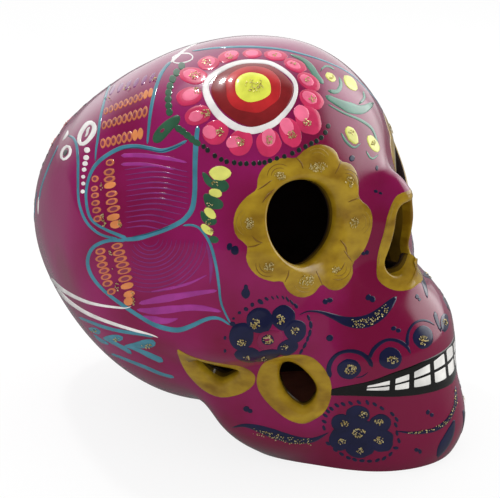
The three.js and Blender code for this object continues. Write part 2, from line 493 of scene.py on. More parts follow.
cheek_rim_pixels = [
    (177.9, 350), (187.6, 354.6), (200, 359.2), (223, 364), (240, 366.5), (250, 371),
    (254.6, 377.6), (251.6, 386), (240, 393.6), (224, 397), (211, 394), (199, 386), (187.6, 373.5),
    (180.7, 361),
]
cheek_hole_pixels = [
    (190, 359), (200, 362.5), (220, 367.5), (236, 371), (239, 376), (232, 382), (221, 386.5),
    (211, 382), (198, 371),
]
eye_hole_half = (13.6, 12.3)
nose_hole_half = (8.8, 11)
nose_collar_width = 3.4
nose_hole_shares = [
    (0, 1), (0.4, 0.96), (0.62, 0.75), (0.76, 0.3), (0.88, -0.2), (1, -0.66), (0.88, -0.94),
    (0.5, -1), (0.2, -0.8), (0, -0.5),
]
nose_rim_shares = [
    (0, 1), (0.4, 0.94), (0.66, 0.6), (0.8, 0.1), (0.92, -0.45), (1, -0.8), (0.8, -1),
    (0.4, -1.04), (0, -1),
]


def quarter_turn(steps):
    return [math.pi / 2 * k / steps for k in range(1, steps + 1)]


def collar_finishes(name, hole, total):
    """The finish of each face: gold to the lip, then golds darkened as painted shade down the cut
    wall, and near-black clay as painted shade inside and on part of an eye's lip and wall.
    """
    count = len(hole)
    gold_rows = left_eye_lip_rows if name.startswith("left_eye") else lip_rows
    finishes = [0] * (gold_rows * count)
    reach = np.abs(hole[:, 0]).max()
    for finish, share in ((0, left_eye_shade_share),) * (lip_rows - gold_rows) + wall_rows:
        # Short of the share, an eye's rows take the near-black clay as painted shade
        gold_here = hole[:, 0] > share * reach if "eye" in name else np.ones(count, bool)
        finishes += np.where(gold_here, finish, 1).tolist()
    return finishes + [1] * (total - len(finishes))


def collar_piece(name, opening, side, hole, rim):
    """A closed ring of clay: skin, rounded lip, cut wall, inner lip and inner face."""
    middle, across, upwards, outwards = opening_frame(opening, side)
    lip_edge = grown(hole, lip)
    inner_edge = grown(hole, inner_lip)
    width = np.linalg.norm(rim - lip_edge, axis=1).mean()
    outer_rim = rim + (rim - lip_edge) * collar_overlap / max(width, 1)

    def surface(outline, depth):
        spots = outline * (-side, 1.0)
        starts = middle + spots[:, :1] * across + spots[:, 1:] * upwards + cut_out * outwards
        return march(starts, np.broadcast_to(-outwards, starts.shape), depth=depth)

    rows = []
    for share, rise in collar_face_shares:
        outline = outer_rim + (lip_edge - outer_rim) * share
        rows.append(surface(outline, 0.0) + collar_rise * rise * outwards)
    for bend in quarter_turn(lip_steps):
        outline = hole + (lip_edge - hole) * (1 - math.sin(bend))
        rows.append(surface(outline, 0.0) - lip * (1 - math.cos(bend)) * outwards)
    top = surface(hole, 0.0) - lip * outwards
    bottom = surface(hole, wall) + inner_lip * outwards
    rows += [top + (bottom - top) * k / wall_steps for k in range(1, wall_steps + 1)]
    for bend in quarter_turn(inner_lip_steps):
        outline = hole + (inner_edge - hole) * (1 - math.cos(bend))
        rows.append(surface(outline, wall) + inner_lip * (1 - math.sin(bend)) * outwards)
    inner_rim = grown(rim, -collar_overlap)
    rows += [surface(inner_edge + (inner_rim - inner_edge) * share, wall)
             for share in inner_face_shares]
    faces = tube_faces(len(rows), len(rim), closed=True)
    if side > 0:
        faces = [face[::-1] for face in faces]
    piece = mesh_object(name, np.vstack(rows), faces)
    finishes = collar_finishes(name, hole, len(faces))
    piece.data.polygons.foreach_set("material_index", finishes)
    return piece


def cutter_piece(opening, side, rim):
    middle, across, upwards, outwards = opening_frame(opening, side)
    spots = grown(rim, -collar_overlap) * (-side, 1.0)
    flat = middle + spots[:, :1] * across + spots[:, 1:] * upwards
    points = np.vstack([flat - cut_in * outwards, flat + cut_out * outwards])
    faces = tube_faces(2, len(rim))
    if side > 0:
        faces = [face[::-1] for face in faces]
    return mesh_object("cutter", points, faces)


eye_hole = oval_outline(*eye_hole_half)
rosette = pixel_outline(eye_opening, rosette_pixels)
# The far lip of a hole hides some of it in the photograph, so that the hole is drawn smaller
hidden_lip = 0.4 * lip
top_angle = math.pi / 2
jaw_hole = grown(pixel_outline(jaw_opening, jaw_hole_pixels), -hidden_lip)
jaw_rim = pixel_outline(jaw_opening, jaw_rim_pixels)
cheek_hole = grown(pixel_outline(cheek_opening, cheek_hole_pixels), -hidden_lip)
cheek_rim = pixel_outline(cheek_opening, cheek_rim_pixels)
nose_hole = matched(mirrored_outline(nose_hole_shares, *nose_hole_half), top_angle)
nose_rim_half = [half + nose_collar_width for half in nose_hole_half]
nose_rim = matched(mirrored_outline(nose_rim_shares, *nose_rim_half), top_angle)

collar_plans = [("nose_collar", nose_opening, -1, nose_hole, nose_rim)]
for side_name, side in (("right", -1), ("left", 1)):
    collar_plans.append((side_name + "_eye_collar", eye_opening, side, eye_hole, rosette))
    collar_plans.append((side_name + "_jaw_collar", jaw_opening, side, jaw_hole, jaw_rim))
    collar_plans.append((side_name + "_cheek_collar", cheek_opening, side, cheek_hole, cheek_rim))


# Materials


def empty_tree(owner):
    owner.use_nodes = True
    owner.node_tree.nodes.clear()
    return owner.node_tree


def add_node(tree, kind, inputs=(), **settings):
    """Adds a node, gives each of its inputs a value or joins it, and returns its outputs."""
    node = tree.nodes.new(kind)
    for name, value in settings.items():
        setattr(node, name, value)
    for name, value in dict(inputs).items():
        if isinstance(value, bpy.types.NodeSocket):
            tree.links.new(value, node.inputs[name])
        else:
            node.inputs[name].default_value = value
    return node.outputs


def math_value(tree, operation, *values):
    return add_node(tree, "ShaderNodeMath", enumerate(values), operation=operation)["Value"]


def along_way(tree, place, way):
    """How far a place lies along a direction."""
    values = {0: place, 1: tuple(way)}
    return add_node(tree, "ShaderNodeVectorMath", values, operation="DOT_PRODUCT")["Value"]


def mixed_shader(tree, share, first, second):
    return add_node(tree, "ShaderNodeMixShader", {"Fac": share, 1: first, 2: second})["Shader"]


def noise_share(tree, place, scale, detail, stretch=(1, 1, 1)):
    place = add_node(tree, "ShaderNodeMapping", {"Vector": place, "Scale": stretch})["Vector"]
    inputs = {"Vector": place, "Scale": scale, "Detail": detail}
    return add_node(tree, "ShaderNodeTexNoise", inputs)["Fac"]


def bumped(tree, share, height_mm, strength):
    inputs = {"Height": share, "Distance": height_mm * MM, "Strength": strength}
    return add_node(tree, "ShaderNodeBump", inputs)["Normal"]


def new_material(name):
    material = bpy.data.materials.new(name)
    return material, empty_tree(material)


def shade(tree, inputs):
    surface = add_node(tree, "ShaderNodeBsdfPrincipled", inputs)["BSDF"]
    add_node(tree, "ShaderNodeOutputMaterial", {"Surface": surface})


ramp_shares = (0.3, 0.7)


def mixed_colour(tree, share, low, high):
    ramp = tree.nodes.new("ShaderNodeValToRGB")
    for stop, colour, position in zip(ramp.color_ramp.elements, (low, high), ramp_shares):
        stop.color = (*colour, 1)
        stop.position = position
    tree.links.new(share, ramp.inputs["Fac"])
    return ramp.outputs["Color"]


# The glaze's slow change by place: darker low down and at the jaw, lighter at the back and top,
# partly painted light and shade
tint_and_shade_way = (0.0, 3.4, 1.2)
tint_and_shade_start = 0.06


def with_place(tree, place, share):
    """Adds to a noise a slow change, darker and redder at the front of the jaw and low down, lighter
    and more purple at the back of the head and high up: partly the glaze's own tint, partly painted
    light and shade.
    """
    total = math_value(tree, "ADD", share, along_way(tree, place, tint_and_shade_way))
    return math_value(tree, "SUBTRACT", total, tint_and_shade_start)


# Noises as a scale and a detail. Heights of bumps are in millimetres
patch_detail = 3
enamel_patch_scale = 70
enamel_roughness = 0.34
ripple = (420, 2)
ripple_height = 0.05
ripple_strength = 0.5
enamel_specular = 0.1
varnish_roughness = 0.1


def varnished(name, low, high, roughness=enamel_roughness, patch_scale=enamel_patch_scale,
              placed=False, stretch=(1, 1, 1)):
    """Brushed enamel under clear varnish, uneven in colour and a little in height."""
    material, tree = new_material(name)
    place = add_node(tree, "ShaderNodeTexCoord")["Object"]
    share = noise_share(tree, place, patch_scale, patch_detail, stretch)
    if placed:
        share = with_place(tree, place, share)
    shade(tree, {
        "Base Color": mixed_colour(tree, share, low, high),
        "Normal": bumped(tree, noise_share(tree, place, *ripple), ripple_height, ripple_strength),
        "Roughness": roughness,
        "Specular IOR Level": enamel_specular,
        "Coat Weight": 1.0,
        "Coat Roughness": varnish_roughness,
    })
    return material


clay_patches = (130, 6)
clay_grain = (1500, 4)
grain_height = 0.12
grain_strength = 0.8
clay_roughness = 0.85


def bare_clay(name, low, high):
    material, tree = new_material(name)
    place = add_node(tree, "ShaderNodeTexCoord")["Object"]
    share = noise_share(tree, place, *clay_patches)
    grain = noise_share(tree, place, *clay_grain)
    shade(tree, {
        "Base Color": mixed_colour(tree, share, low, high),
        "Normal": bumped(tree, grain, grain_height, grain_strength),
        "Roughness": clay_roughness,
    })
    return material


# Each enamel and clay in its darker and its lighter tone
glaze_tones = ((0.155, 0.0008, 0.032), (0.24, 0.0045, 0.092))
gold_tones = ((0.185, 0.095, 0.004), (0.375, 0.24, 0.012))
# The cut walls' gold, and the gold deeper in, made darker as painted shade inside the openings
shaded_wall_gold_tones = ((0.06, 0.032, 0.003), (0.14, 0.08, 0.007))
shaded_deep_gold_tones = ((0.03, 0.016, 0.003), (0.05, 0.028, 0.004))
clay_tones = ((0.17, 0.04, 0.02), (0.26, 0.07, 0.035))
# The inside of the hollow in near-black clay: painted shade
inner_shade_clay_tones = ((0.018, 0.006, 0.005), (0.03, 0.01, 0.008))
glaze_patch_scale = 38
gold_patch_scale = 120
gold_stretch = (1, 1, 1.8)
gold_roughness, shaded_wall_gold_roughness, shaded_deep_gold_roughness = 0.3, 0.4, 0.5

# The glaze is placed: darker towards the jaw and lighter towards the back and top, partly painted
# light and shade
glaze = varnished("magenta_glaze", *glaze_tones, patch_scale=glaze_patch_scale, placed=True)
gold = varnished("gold_enamel", *gold_tones, roughness=gold_roughness,
                 patch_scale=gold_patch_scale, stretch=gold_stretch)
# Two golds darkened as painted shade, for the cut walls of the openings
shaded_wall_gold = varnished("shaded_wall_gold", *shaded_wall_gold_tones, roughness=shaded_wall_gold_roughness)
shaded_deep_gold = varnished("shaded_deep_gold", *shaded_deep_gold_tones, roughness=shaded_deep_gold_roughness)
clay = bare_clay("bare_clay", *clay_tones)
# Near-black clay for the inside of the hollow and the cut faces: painted shade
inner_shade_clay = bare_clay("painted_shade_inner_clay", *inner_shade_clay_tones)


# The clay body: one hollow shell, parted where the moulded pieces were luted together

outer_splits = 7
inner_splits = 6
on_surface = 0.08

facing_share = 0.75
nearly_all = 0.99


def give_normals(piece):
    """Smooth shading from the skin itself, so that cuts leave no marks beside them."""
    mesh = piece.data
    points = read_all(mesh.vertices, "co", 3) / MM
    gap = skin_distance(points)
    slope = skin_slope(points)
    corners = read_all(mesh.loops, "vertex_index", kind=np.int64)
    totals = read_all(mesh.polygons, "loop_total", kind=np.int64)
    owner = np.repeat(np.arange(len(totals)), totals)
    flat = read_all(mesh.polygons, "normal", 3)[owner]
    facing = np.einsum("ij,ij->i", flat, slope[corners])
    outer = (np.abs(gap[corners]) < on_surface) & (facing > facing_share)
    inner = (np.abs(gap[corners] + wall) < on_surface) & (facing < -facing_share)
    normals = np.where(outer[:, None], slope[corners], flat)
    normals = np.where(inner[:, None], -slope[corners], normals)
    mesh.normals_split_custom_set(normals.tolist())
    shares = np.bincount(owner, weights=outer) / np.maximum(totals, 1)
    return shares > nearly_all


def finish_shell(piece, name, clay_and_shade):
    piece.name = name + "_looks"
    piece.data.name = piece.name
    painted = give_normals(piece)
    piece.data.materials.clear()
    piece.data.materials.append(glaze)
    piece.data.materials.append(clay_and_shade)
    # Faces off the glazed skin take the second finish: bare clay under the plate, near-black clay as
    # painted shade on the shells' inside and cut faces
    piece.data.polygons.foreach_set("material_index", np.where(painted, 0, 1).tolist())
    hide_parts(name)
    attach(piece, "root")


def part_of(shell, low, high):
    block = box_piece(low, high)
    piece = boolean(copy_of(shell, "part"), block, "INTERSECT")
    drop(block)
    return piece


def make_shell():
    shell = ball_piece(0.0, outer_splits)
    above = box_piece((-far, -far, 0), (far, far, far))
    boolean(shell, above, "INTERSECT")
    hollow = ball_piece(wall, inner_splits)
    above_floor = box_piece((-far, -far, wall), (far, far, far))
    boolean(hollow, above_floor, "INTERSECT")
    boolean(shell, hollow, "DIFFERENCE")
    drop(above, hollow, above_floor)
    for _, opening, side, _, rim in collar_plans:
        cutter = cutter_piece(opening, side, rim)
        boolean(shell, cutter, "DIFFERENCE")
        drop(cutter)
    # The shells' inside and cut faces get near-black clay, a painted shade
    finish_shell(part_of(shell, (-far, seam, -far), (far, far, far)), "cranium_shell", inner_shade_clay)
    face = part_of(shell, (-far, -far, mouth_line), (far, seam, far))
    finish_shell(face, "face_shell", inner_shade_clay)
    plate = part_of(shell, (-far, -far, -far), (far, plate_back, plate_top))
    finish_shell(plate, "base_plate", clay)
    jaw = part_of(shell, (-far, -far, -far), (far, seam, mouth_line))
    below = box_piece((-far, -far, -far), (far, plate_back, plate_top))
    boolean(jaw, below, "DIFFERENCE")
    finish_shell(jaw, "lower_jaw", inner_shade_clay)
    drop(below, shell)


def make_collars():
    for name, opening, side, hole, rim in collar_plans:
        piece = collar_piece(name + "_looks", opening, side, hole, rim)
        # Gold, then the near-black clay as painted shade, and the two golds darkened as painted shade
        for material in (gold, inner_shade_clay, shaded_wall_gold, shaded_deep_gold):
            piece.data.materials.append(material)
        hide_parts(name)
        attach(piece, "root")


make_shell()
make_collars()


# Brush strokes: thin closed patches that stand a hair off the skin, one object to a colour

sink = 0.09
hidden_share = 0.04
patch_step = 1.5
pixels_to_mm = 0.3
twin_turn = math.radians(11.3)
twin_scale = 0.64
twin_middle = np.array([26.8, -16.5, 116.1])
twin_axis = np.array([-0.27, 0.837, 0.477])
paint_parts = {}

# Heights of the layers of paint and of the glitter, from the ground colour up
lift_low = 0.06
lift_line = 0.1
lift_petal = 0.11
lift_leaf = 0.12
lift_white = 0.12
lift_shade = 0.14
lift_dab = 0.15
lift_ring = 0.16
lift_leaf_top = 0.16
lift_red = 0.18
lift_gold = 0.2
lift_bright = 0.21
lift_yellow = 0.24
glitter_lift = 0.25
petal_glitter_lift = 0.3
top_glitter_lift = 0.4


def on_photo(pixels):
    return on_skin(photo, pixels, exact=False)


def on_rear(pixels):
    return on_skin(rear, pixels, exact=False)


front_start = -130.0


def on_front(spots):
    """From straight in front: millimetres to the left side and down."""
    spots = np.asarray(spots, float)
    level = np.full(spots.shape[:-1], front_start)
    starts = np.stack([spots[..., 0], level, -spots[..., 1]], axis=-1)
    return march(starts, np.broadcast_to([0.0, 1.0, 0.0], starts.shape))


def hidden_from_photo(points):
    spot = points.mean(axis=0)[None]
    sight = photo["eye"] - spot[0]
    return skin_slope(spot)[0] @ sight < hidden_share * np.linalg.norm(sight)


def turned_out(points):
    """The forehead flower's twin: smaller, and further round the head."""
    away = twin_middle + (points - twin_middle) * twin_scale - heart
    along = (away @ twin_axis)[:, None] * twin_axis
    across = np.cross(twin_axis, away)
    return heart + along + (away - along) * math.cos(twin_turn) + across * math.sin(twin_turn)


twins_beyond = -2


def twins_of(points, twin):
    """A patch's twin on the other side, where the photograph leaves room for it."""
    mirrored = points * (-1, 1, 1)
    if twin == "turned":
        return [turned_out(mirrored)]
    if twin == "hidden" and points[:, 0].max() < twins_beyond and hidden_from_photo(mirrored):
        return [mirrored]
    return []


def lay(colour, points, lifts, faces, twin):
    """Adds a patch and its twin to a colour's paint. The twin's faces run the other way."""
    group = paint_parts.setdefault(colour, {"points": [], "lifts": [], "faces": [], "count": 0})
    for spots, order in [(points, 1)] + [(other, -1) for other in twins_of(points, twin)]:
        start = group["count"]
        group["points"].append(spots)
        group["lifts"].append(lifts)
        group["faces"] += [tuple(start + i for i in face)[::order] for face in faces]
        group["count"] += len(spots)


# A filled patch rises from its rim: millimetres inwards, at most which share of the way to the
# middle, and the share of its height
rim_rise_shares = ((0.12, 0.15, 0.6), (0.3, 0.3, 1.0))
first_row_share, last_row_share = 0.35, 0.9
rim_step = 0.9
rim_steps_least, rim_steps_most = 12, 72
least_reach = 0.3
blob_depth = 0.5


def blob(colour, outline, lift, place=on_photo, twin="hidden", middle=None):
    """A filled patch inside an outline that can all be seen from its middle."""
    outline = np.asarray(outline, float)
    after = following(outline)
    if (outline[:, 0] * after[:, 1] - after[:, 0] * outline[:, 1]).sum() > 0:
        outline = outline[::-1]
    reach = np.linalg.norm(outline - outline.mean(axis=0), axis=1).max() * pixels_to_mm
    reach = max(reach, least_reach)
    perimeter = np.linalg.norm(following(outline) - outline, axis=1).sum() * pixels_to_mm
    steps = int(np.clip(perimeter / rim_step, rim_steps_least, rim_steps_most))
    outline = smooth_loop(outline, steps)
    middle = outline.mean(axis=0) if middle is None else np.array(middle, float)
    spots = place(np.vstack([outline, middle[None]]))
    rim, centre = spots[:-1], spots[-1]
    inner_rows = max(2, int(math.ceil(reach / patch_step)))
    rows = [(0.0, -sink)]
    rows += [(min(inwards / reach, most), share * lift) for inwards, most, share in rim_rise_shares]
    rows += [(share, lift) for share in np.linspace(first_row_share, last_row_share, inner_rows)]
    points = np.vstack([rim + (centre - rim) * share for share, _ in rows] + [centre[None]] * 2)
    lifts = np.concatenate([np.full(steps, height) for _, height in rows] + [[lift, -blob_depth]])
    faces = tube_faces(len(rows), steps, capped=False)
    top = len(rows) * steps
    for i in range(steps):
        j = (i + 1) % steps
        faces.append((top - steps + i, top - steps + j, top))
        faces.append((j, i, top + 1))
    lay(colour, points, lifts, faces, twin)


oval_marks = 14
oval_wobble = 0.03


def oval_points(x, y, half_x, half_y, turn=0.0):
    angles = np.linspace(0, 2 * math.pi, oval_marks, endpoint=False)
    sizes = 1 + oval_wobble * chance.normal(size=oval_marks)
    flat = np.stack([half_x * sizes * np.cos(angles), half_y * sizes * np.sin(angles)], axis=-1)
    turn = math.radians(turn)
    spin = np.array([[math.cos(turn), math.sin(turn)], [-math.sin(turn), math.cos(turn)]])
    return flat @ spin + (x, y)


def oval(colour, spot, lift, **more):
    """A dab from its middle, its half width and height and its turn."""
    blob(colour, oval_points(*spot), lift, **more)


edge_height_share = 0.65
line_edge_share, line_flat_share = 0.82, 0.5
line_step = 0.8
line_steps_least, line_steps_most = 6, 150
width_wobble = 0.05
wobble_marks = 9
least_end_share = 0.05


def cross_section(edge, flat, rows, lift):
    """Places across a stroke from -1 to 1, and their heights: rising edges, level between."""
    across = np.r_[-1, -edge, np.linspace(-flat, flat, rows), edge, 1]
    near_edge = edge_height_share * lift
    return across, np.r_[-sink, near_edge, np.full(rows, lift), near_edge, -sink]


def half_widths(widths, shares, length, closed):
    """Half the width at each step of a line, a little uneven, with round ends."""
    widths = np.atleast_1d(np.asarray(widths, float))
    if closed:
        widths = np.r_[widths, widths[:1]]
    half = np.interp(shares, np.linspace(0, 1, len(widths)), widths) / 2
    uneven = chance.normal(size=wobble_marks)
    uneven = np.interp(shares, np.linspace(0, 1, wobble_marks), uneven)
    half = half * (1 + width_wobble * uneven)
    if closed:
        return half
    from_end = np.clip(np.minimum(shares, 1 - shares) * length / half, 0, 1)
    return half * np.sqrt(np.clip(1 - (1 - from_end) ** 2, least_end_share, 1))


def line(colour, path, widths, lift, place=on_photo, twin="hidden", closed=False):
    """A brush line with round ends. Widths are spread evenly along it."""
    path = np.asarray(path, float)
    ring = np.vstack([path, path[:1]]) if closed else path
    length = np.linalg.norm(np.diff(ring, axis=0), axis=1).sum()
    steps = int(np.clip(length * pixels_to_mm / line_step, line_steps_least, line_steps_most))
    path = smooth_loop(path, steps) if closed else smooth_path(path, steps)
    shares = np.arange(steps) / (steps if closed else steps - 1)
    half = half_widths(widths, shares, length, closed)
    before = np.roll(path, 1, axis=0) if closed else np.vstack([path[:1], path[:-1]])
    after = np.roll(path, -1, axis=0) if closed else np.vstack([path[1:], path[-1:]])
    along = after - before
    along /= np.maximum(np.linalg.norm(along, axis=1, keepdims=True), tiny)
    side = np.stack([-along[:, 1], along[:, 0]], axis=-1)
    rows = max(2, int(math.ceil(2 * half.max() * pixels_to_mm / patch_step)) + 1)
    across, heights = cross_section(line_edge_share, line_flat_share, rows, lift)
    spots = path[:, None] + side[:, None] * (half[:, None] * across)[..., None]
    faces = tube_faces(steps, len(across), closed)
    lay(colour, place(spots.reshape(-1, 2)), np.tile(heights, steps), faces, twin)


flakes = []
glitter_share = 1.7
flakes_each = 2


def glitter(x, y, half_x, half_y, count, lift=glitter_lift, place=on_photo, twin="hidden"):
    """A pinch of gold flakes in an oval."""
    angles = chance.uniform(0, 2 * math.pi, count)
    away = np.sqrt(chance.uniform(0, 1, count))
    spots = np.stack([x + half_x * away * np.cos(angles), y + half_y * away * np.sin(angles)], -1)
    points = place(spots)
    for copied in [points] + twins_of(points, twin):
        flakes.append((copied, np.full(count, lift)))


def sprinkle(spots, **more):
    """Pinches of as many flakes as suit the size of each oval."""
    for x, y, half_x, half_y in spots:
        glitter(x, y, half_x, half_y, int(glitter_share * half_x * half_y), **more)


def glitter_along(path, spread, count):
    for x, y in smooth_path(path, count):
        glitter(x, y, spread, spread, flakes_each)


# The wings and lines on the side of the head
teal_lines = [
    ([(192, 51), (217, 47.7), (250, 46.7), (279, 49), (300, 53.5), (323, 60.5), (346, 71),
      (362, 84), (376, 99.5), (384, 109)], (1.6, 2.4, 2.4, 1.8, 1, 0.6)),
    ([(171, 61.5), (165.5, 67), (160.5, 75), (155.7, 88), (151.9, 104), (149.5, 120),
      (147.3, 144)], (3, 4.2, 4, 3.4, 2.4)),
    ([(110.5, 83), (106.5, 93), (103, 106), (100, 120), (98, 137), (96, 150), (95.4, 161)],
     (2, 2.8, 3, 2.8, 1.4)),
    ([(187, 140.5), (174, 147.4), (162, 150.7), (149.2, 148.3), (134.8, 146.2), (120.5, 148.1),
      (106, 155.8), (96.6, 163.8), (90.8, 173), (87, 185), (86, 198), (88.6, 214), (94.6, 223),
      (106, 229.8), (116, 234), (127, 238.5)], (3, 4.6, 4.6, 4.6, 4, 3, 3, 3, 4)),
    ([(198, 126), (196, 142), (195, 165), (194.7, 192), (192.1, 208.7), (185.4, 218.3),
      (178, 223.5), (164.4, 229.8), (149.2, 235), (134.8, 238.8), (120, 239.6)],
     (5, 6, 6, 6, 6, 5.6, 5, 5, 4)),
    ([(67.8, 135.7), (73, 137.8), (76.5, 145.3), (77.9, 160), (78, 182), (78.6, 200),
      (82.2, 213.5), (87.9, 224), (96.6, 232.2), (106, 236.5), (118, 239)],
     (3, 3.2, 3, 2.8, 2.8, 3, 3, 3)),
    ([(58.3, 145.3), (51.6, 159.6), (44.5, 177), (40.6, 190), (39, 200)], (1.4, 1.8, 1.6)),
    ([(126, 240.5), (111, 240.3), (101.3, 242.7), (92.7, 247.9), (88.2, 256.6), (88, 266.5),
      (92.7, 277.6), (101.3, 288.1), (110.9, 296.5), (125.3, 307), (139.6, 316.4),
      (155, 325), (169.3, 329.3), (180.7, 329.7), (193, 325.2), (203, 320.5), (212.2, 317.9),
      (221, 319.2), (230, 325)], (4, 4.4, 4, 4, 4, 4.6, 5.6, 5.4, 4.6, 2)),
    ([(183, 225.5), (191.1, 225), (198.8, 227.8), (205.5, 235.5), (211.2, 247), (216, 266),
      (218.9, 285.3), (220.8, 301.5), (225.6, 314), (230.4, 323)], (2.4, 3, 3.2, 3.2, 2.6, 2)),
    ([(78.6, 317.2), (91.2, 322.4), (107.3, 328.1), (123.3, 331.6), (140.6, 334.4),
      (153, 337)], (2.4, 3.6, 4, 3.6, 2)),
    ([(111, 353.6), (129, 360.8), (146.3, 367.7), (161.2, 374), (174, 377.4)],
     (2.4, 3.2, 3.8, 4, 3.2)),
    ([(103, 338), (115.3, 343.6), (125.6, 349.4), (131.6, 353.6)], (2, 4, 4.6, 4.4)),
    ([(93.5, 334.4), (100.4, 340.2), (108.6, 344.4)], (2, 4, 3.8)),
    ([(124, 345.8), (137, 349.6), (150, 355.6), (163, 361.4)], (1.5, 4.4, 6.2, 6.4)),
]
teal_leaves = [
    [(123.9, 345.7), (134.8, 342.5), (144, 339.6), (152, 339.4), (156, 343), (154.3, 346.6),
     (148.6, 347.8), (141.7, 348.4), (134.8, 347.8)],
    [(102.7, 337.9), (109.6, 335.2), (117.6, 334.6), (123.5, 337.3), (121, 341), (114.1, 340.6)],
    [(87.7, 328.1), (94.6, 327.4), (100.6, 331), (99.2, 334.8), (93.5, 332.6)],
]
deep_teal_lines = [
    ([(184, 143.5), (173, 148), (161, 151.6), (149, 149.6), (134.8, 147.6), (121, 149.4)],
     (1, 1.8, 1.8, 1.4, 0.6)),
    ([(170, 226), (158, 230.5), (145, 234.5), (132, 237)], (0.8, 1.8, 1.8, 0.8)),
]
white_lines = [
    ([(198, 42.6), (189, 47), (180, 53.5), (170.5, 62.5)], (0.8, 2, 3.2, 3)),
    ([(49.7, 277.6), (60.2, 288), (72.6, 295.8), (87, 302), (101.3, 305.4), (115.7, 307.3),
      (125.3, 308), (131.5, 306.3)], (3.4, 4, 4, 3.6, 3, 2.6, 1)),
    ([(56.4, 288.1), (67.8, 300.4), (82.2, 310.6), (96.6, 317.6), (114, 324), (134.8, 330.4),
      (149.7, 334.4), (158, 337.4)], (3, 4, 4, 4, 3.6, 3, 0.8)),
    ([(68, 130.6), (66.8, 134.2), (64.6, 137.4), (62.8, 140.6)], (2.6, 2.8, 2.6, 1.4)),
    # The short white line at the far left edge is a painted highlight along the outline
    ([(38.8, 197), (38, 206), (38.2, 214)], (0.8, 1.4, 0.8)),
    ([(89.8, 127), (87.6, 130), (87, 134), (85, 137)], (2, 3, 2.6, 1.4)),
]
white_curls = [
    (87, 150, 3.1), (86, 157.7, 2.9), (85.1, 163.6, 2.7), (84.1, 169.6, 2.4), (83.2, 176.8, 2.1),
    (83.2, 183.6, 2.1), (82.7, 191.5, 2.2),
]
curl_stretch = 1.1
white_ring = [(91, 122.6), (94.2, 126), (93.4, 132.4), (88.6, 139.6), (84, 143.6),
              (80.6, 143.8), (79, 140.6), (80.2, 134), (84.2, 127), (87.6, 123.4)]
white_ring_widths = (5, 5.6, 4.2, 4.2, 4.6)
small_loop, small_loop_widths = (65.7, 152.9, 4.2, 6.8, 25), (3,)
small_loop_middle = (65.4, 152.6, 2, 4, 25)
crown_loop, crown_loop_widths = (182.5, 58.2, 10.6, 4.8, -10), (1.4,)

# Orange dabs. Rows: both ends, a count, a half width, the first and last half height, a turn, and
# how many at the end are filled. Columns: a middle, a half width and height, and if it's filled
orange_rows = [
    (106, 111, 150.5, 92.5, 10, 2.3, 4.6, 5.8, 16, 2),
    (104.2, 125.2, 145, 111.8, 9, 2.6, 5.2, 6.8, 12, 0),
    (103, 143.4, 140.4, 133.6, 8, 2.9, 5.8, 6.8, 4, 2),
]
orange_columns = [
    [(110, 162.5, 4.8, 3.7, 0), (109.2, 172, 6, 3.8, 0), (109.5, 179.2, 6.4, 3.4, 0),
     (110, 185.2, 6.6, 3.4, 1), (111.7, 193.9, 6.4, 3.2, 0), (111.9, 201.5, 6.8, 3.4, 0),
     (113.8, 208.8, 7.2, 3.4, 0), (113.3, 217.2, 7, 3.6, 1), (115.7, 224.4, 6.2, 4, 1)],
    [(95.1, 178.8, 4, 3.6, 0), (94.6, 188.6, 4, 3, 0), (95.1, 195.3, 4.4, 3, 0),
     (95.6, 203, 4.6, 3.1, 0), (96.6, 210.2, 4.8, 3.2, 0), (97.6, 218.8, 4.6, 3.6, 0)],
    [(117.1, 246, 6.2, 3.2, 0), (119, 252.7, 7, 3.2, 0), (120.5, 259, 7.2, 3.2, 0),
     (122.4, 264.8, 7.4, 3.2, 0), (124.3, 271, 7.8, 3.2, 0), (125.3, 278.6, 7.6, 3.4, 0),
     (127.2, 285.8, 7.2, 3.4, 1), (129.1, 294.2, 6.4, 3.6, 1), (128.6, 301.5, 5.2, 4.4, 1)],
    [(100.4, 251.3, 5.6, 3.6, 0), (100.9, 258.5, 6, 3.4, 0), (102.3, 264.8, 6, 3.2, 0),
     (104.2, 270.6, 6, 3.2, 0), (106.1, 276.8, 6, 3.3, 0), (107.6, 283.4, 5.6, 3.4, 0),
     (111.4, 291.5, 5, 3.6, 0)],
]
violet_broad = [
    ([(121, 155.6), (138, 155.2), (156, 156.8), (172, 159.2), (187, 162.6)], (4.4, 5, 5, 4, 2)),
    ([(121, 164.4), (140, 164), (158, 166), (174, 169.4)], (4, 4, 3, 2)),
    ([(139, 303.4), (158, 299.8), (178, 296.4), (198, 293), (217, 290.6)], (4, 8.4, 8, 6, 3)),
    ([(137, 309.6), (152, 311), (170, 309.4), (190, 307.6), (206, 308.6), (221, 311.6)],
     (3, 8.6, 8.6, 7, 6, 3)),
    ([(141, 316.6), (154, 319.6), (166, 321), (178, 318.6)], (3, 8, 7, 2)),
    ([(150, 292), (170, 288.4), (190, 283), (207, 275)], (1.4, 3, 3, 1.4)),
]
violet_dabs_from, violet_dabs_to = (112, 90), (160, 75)

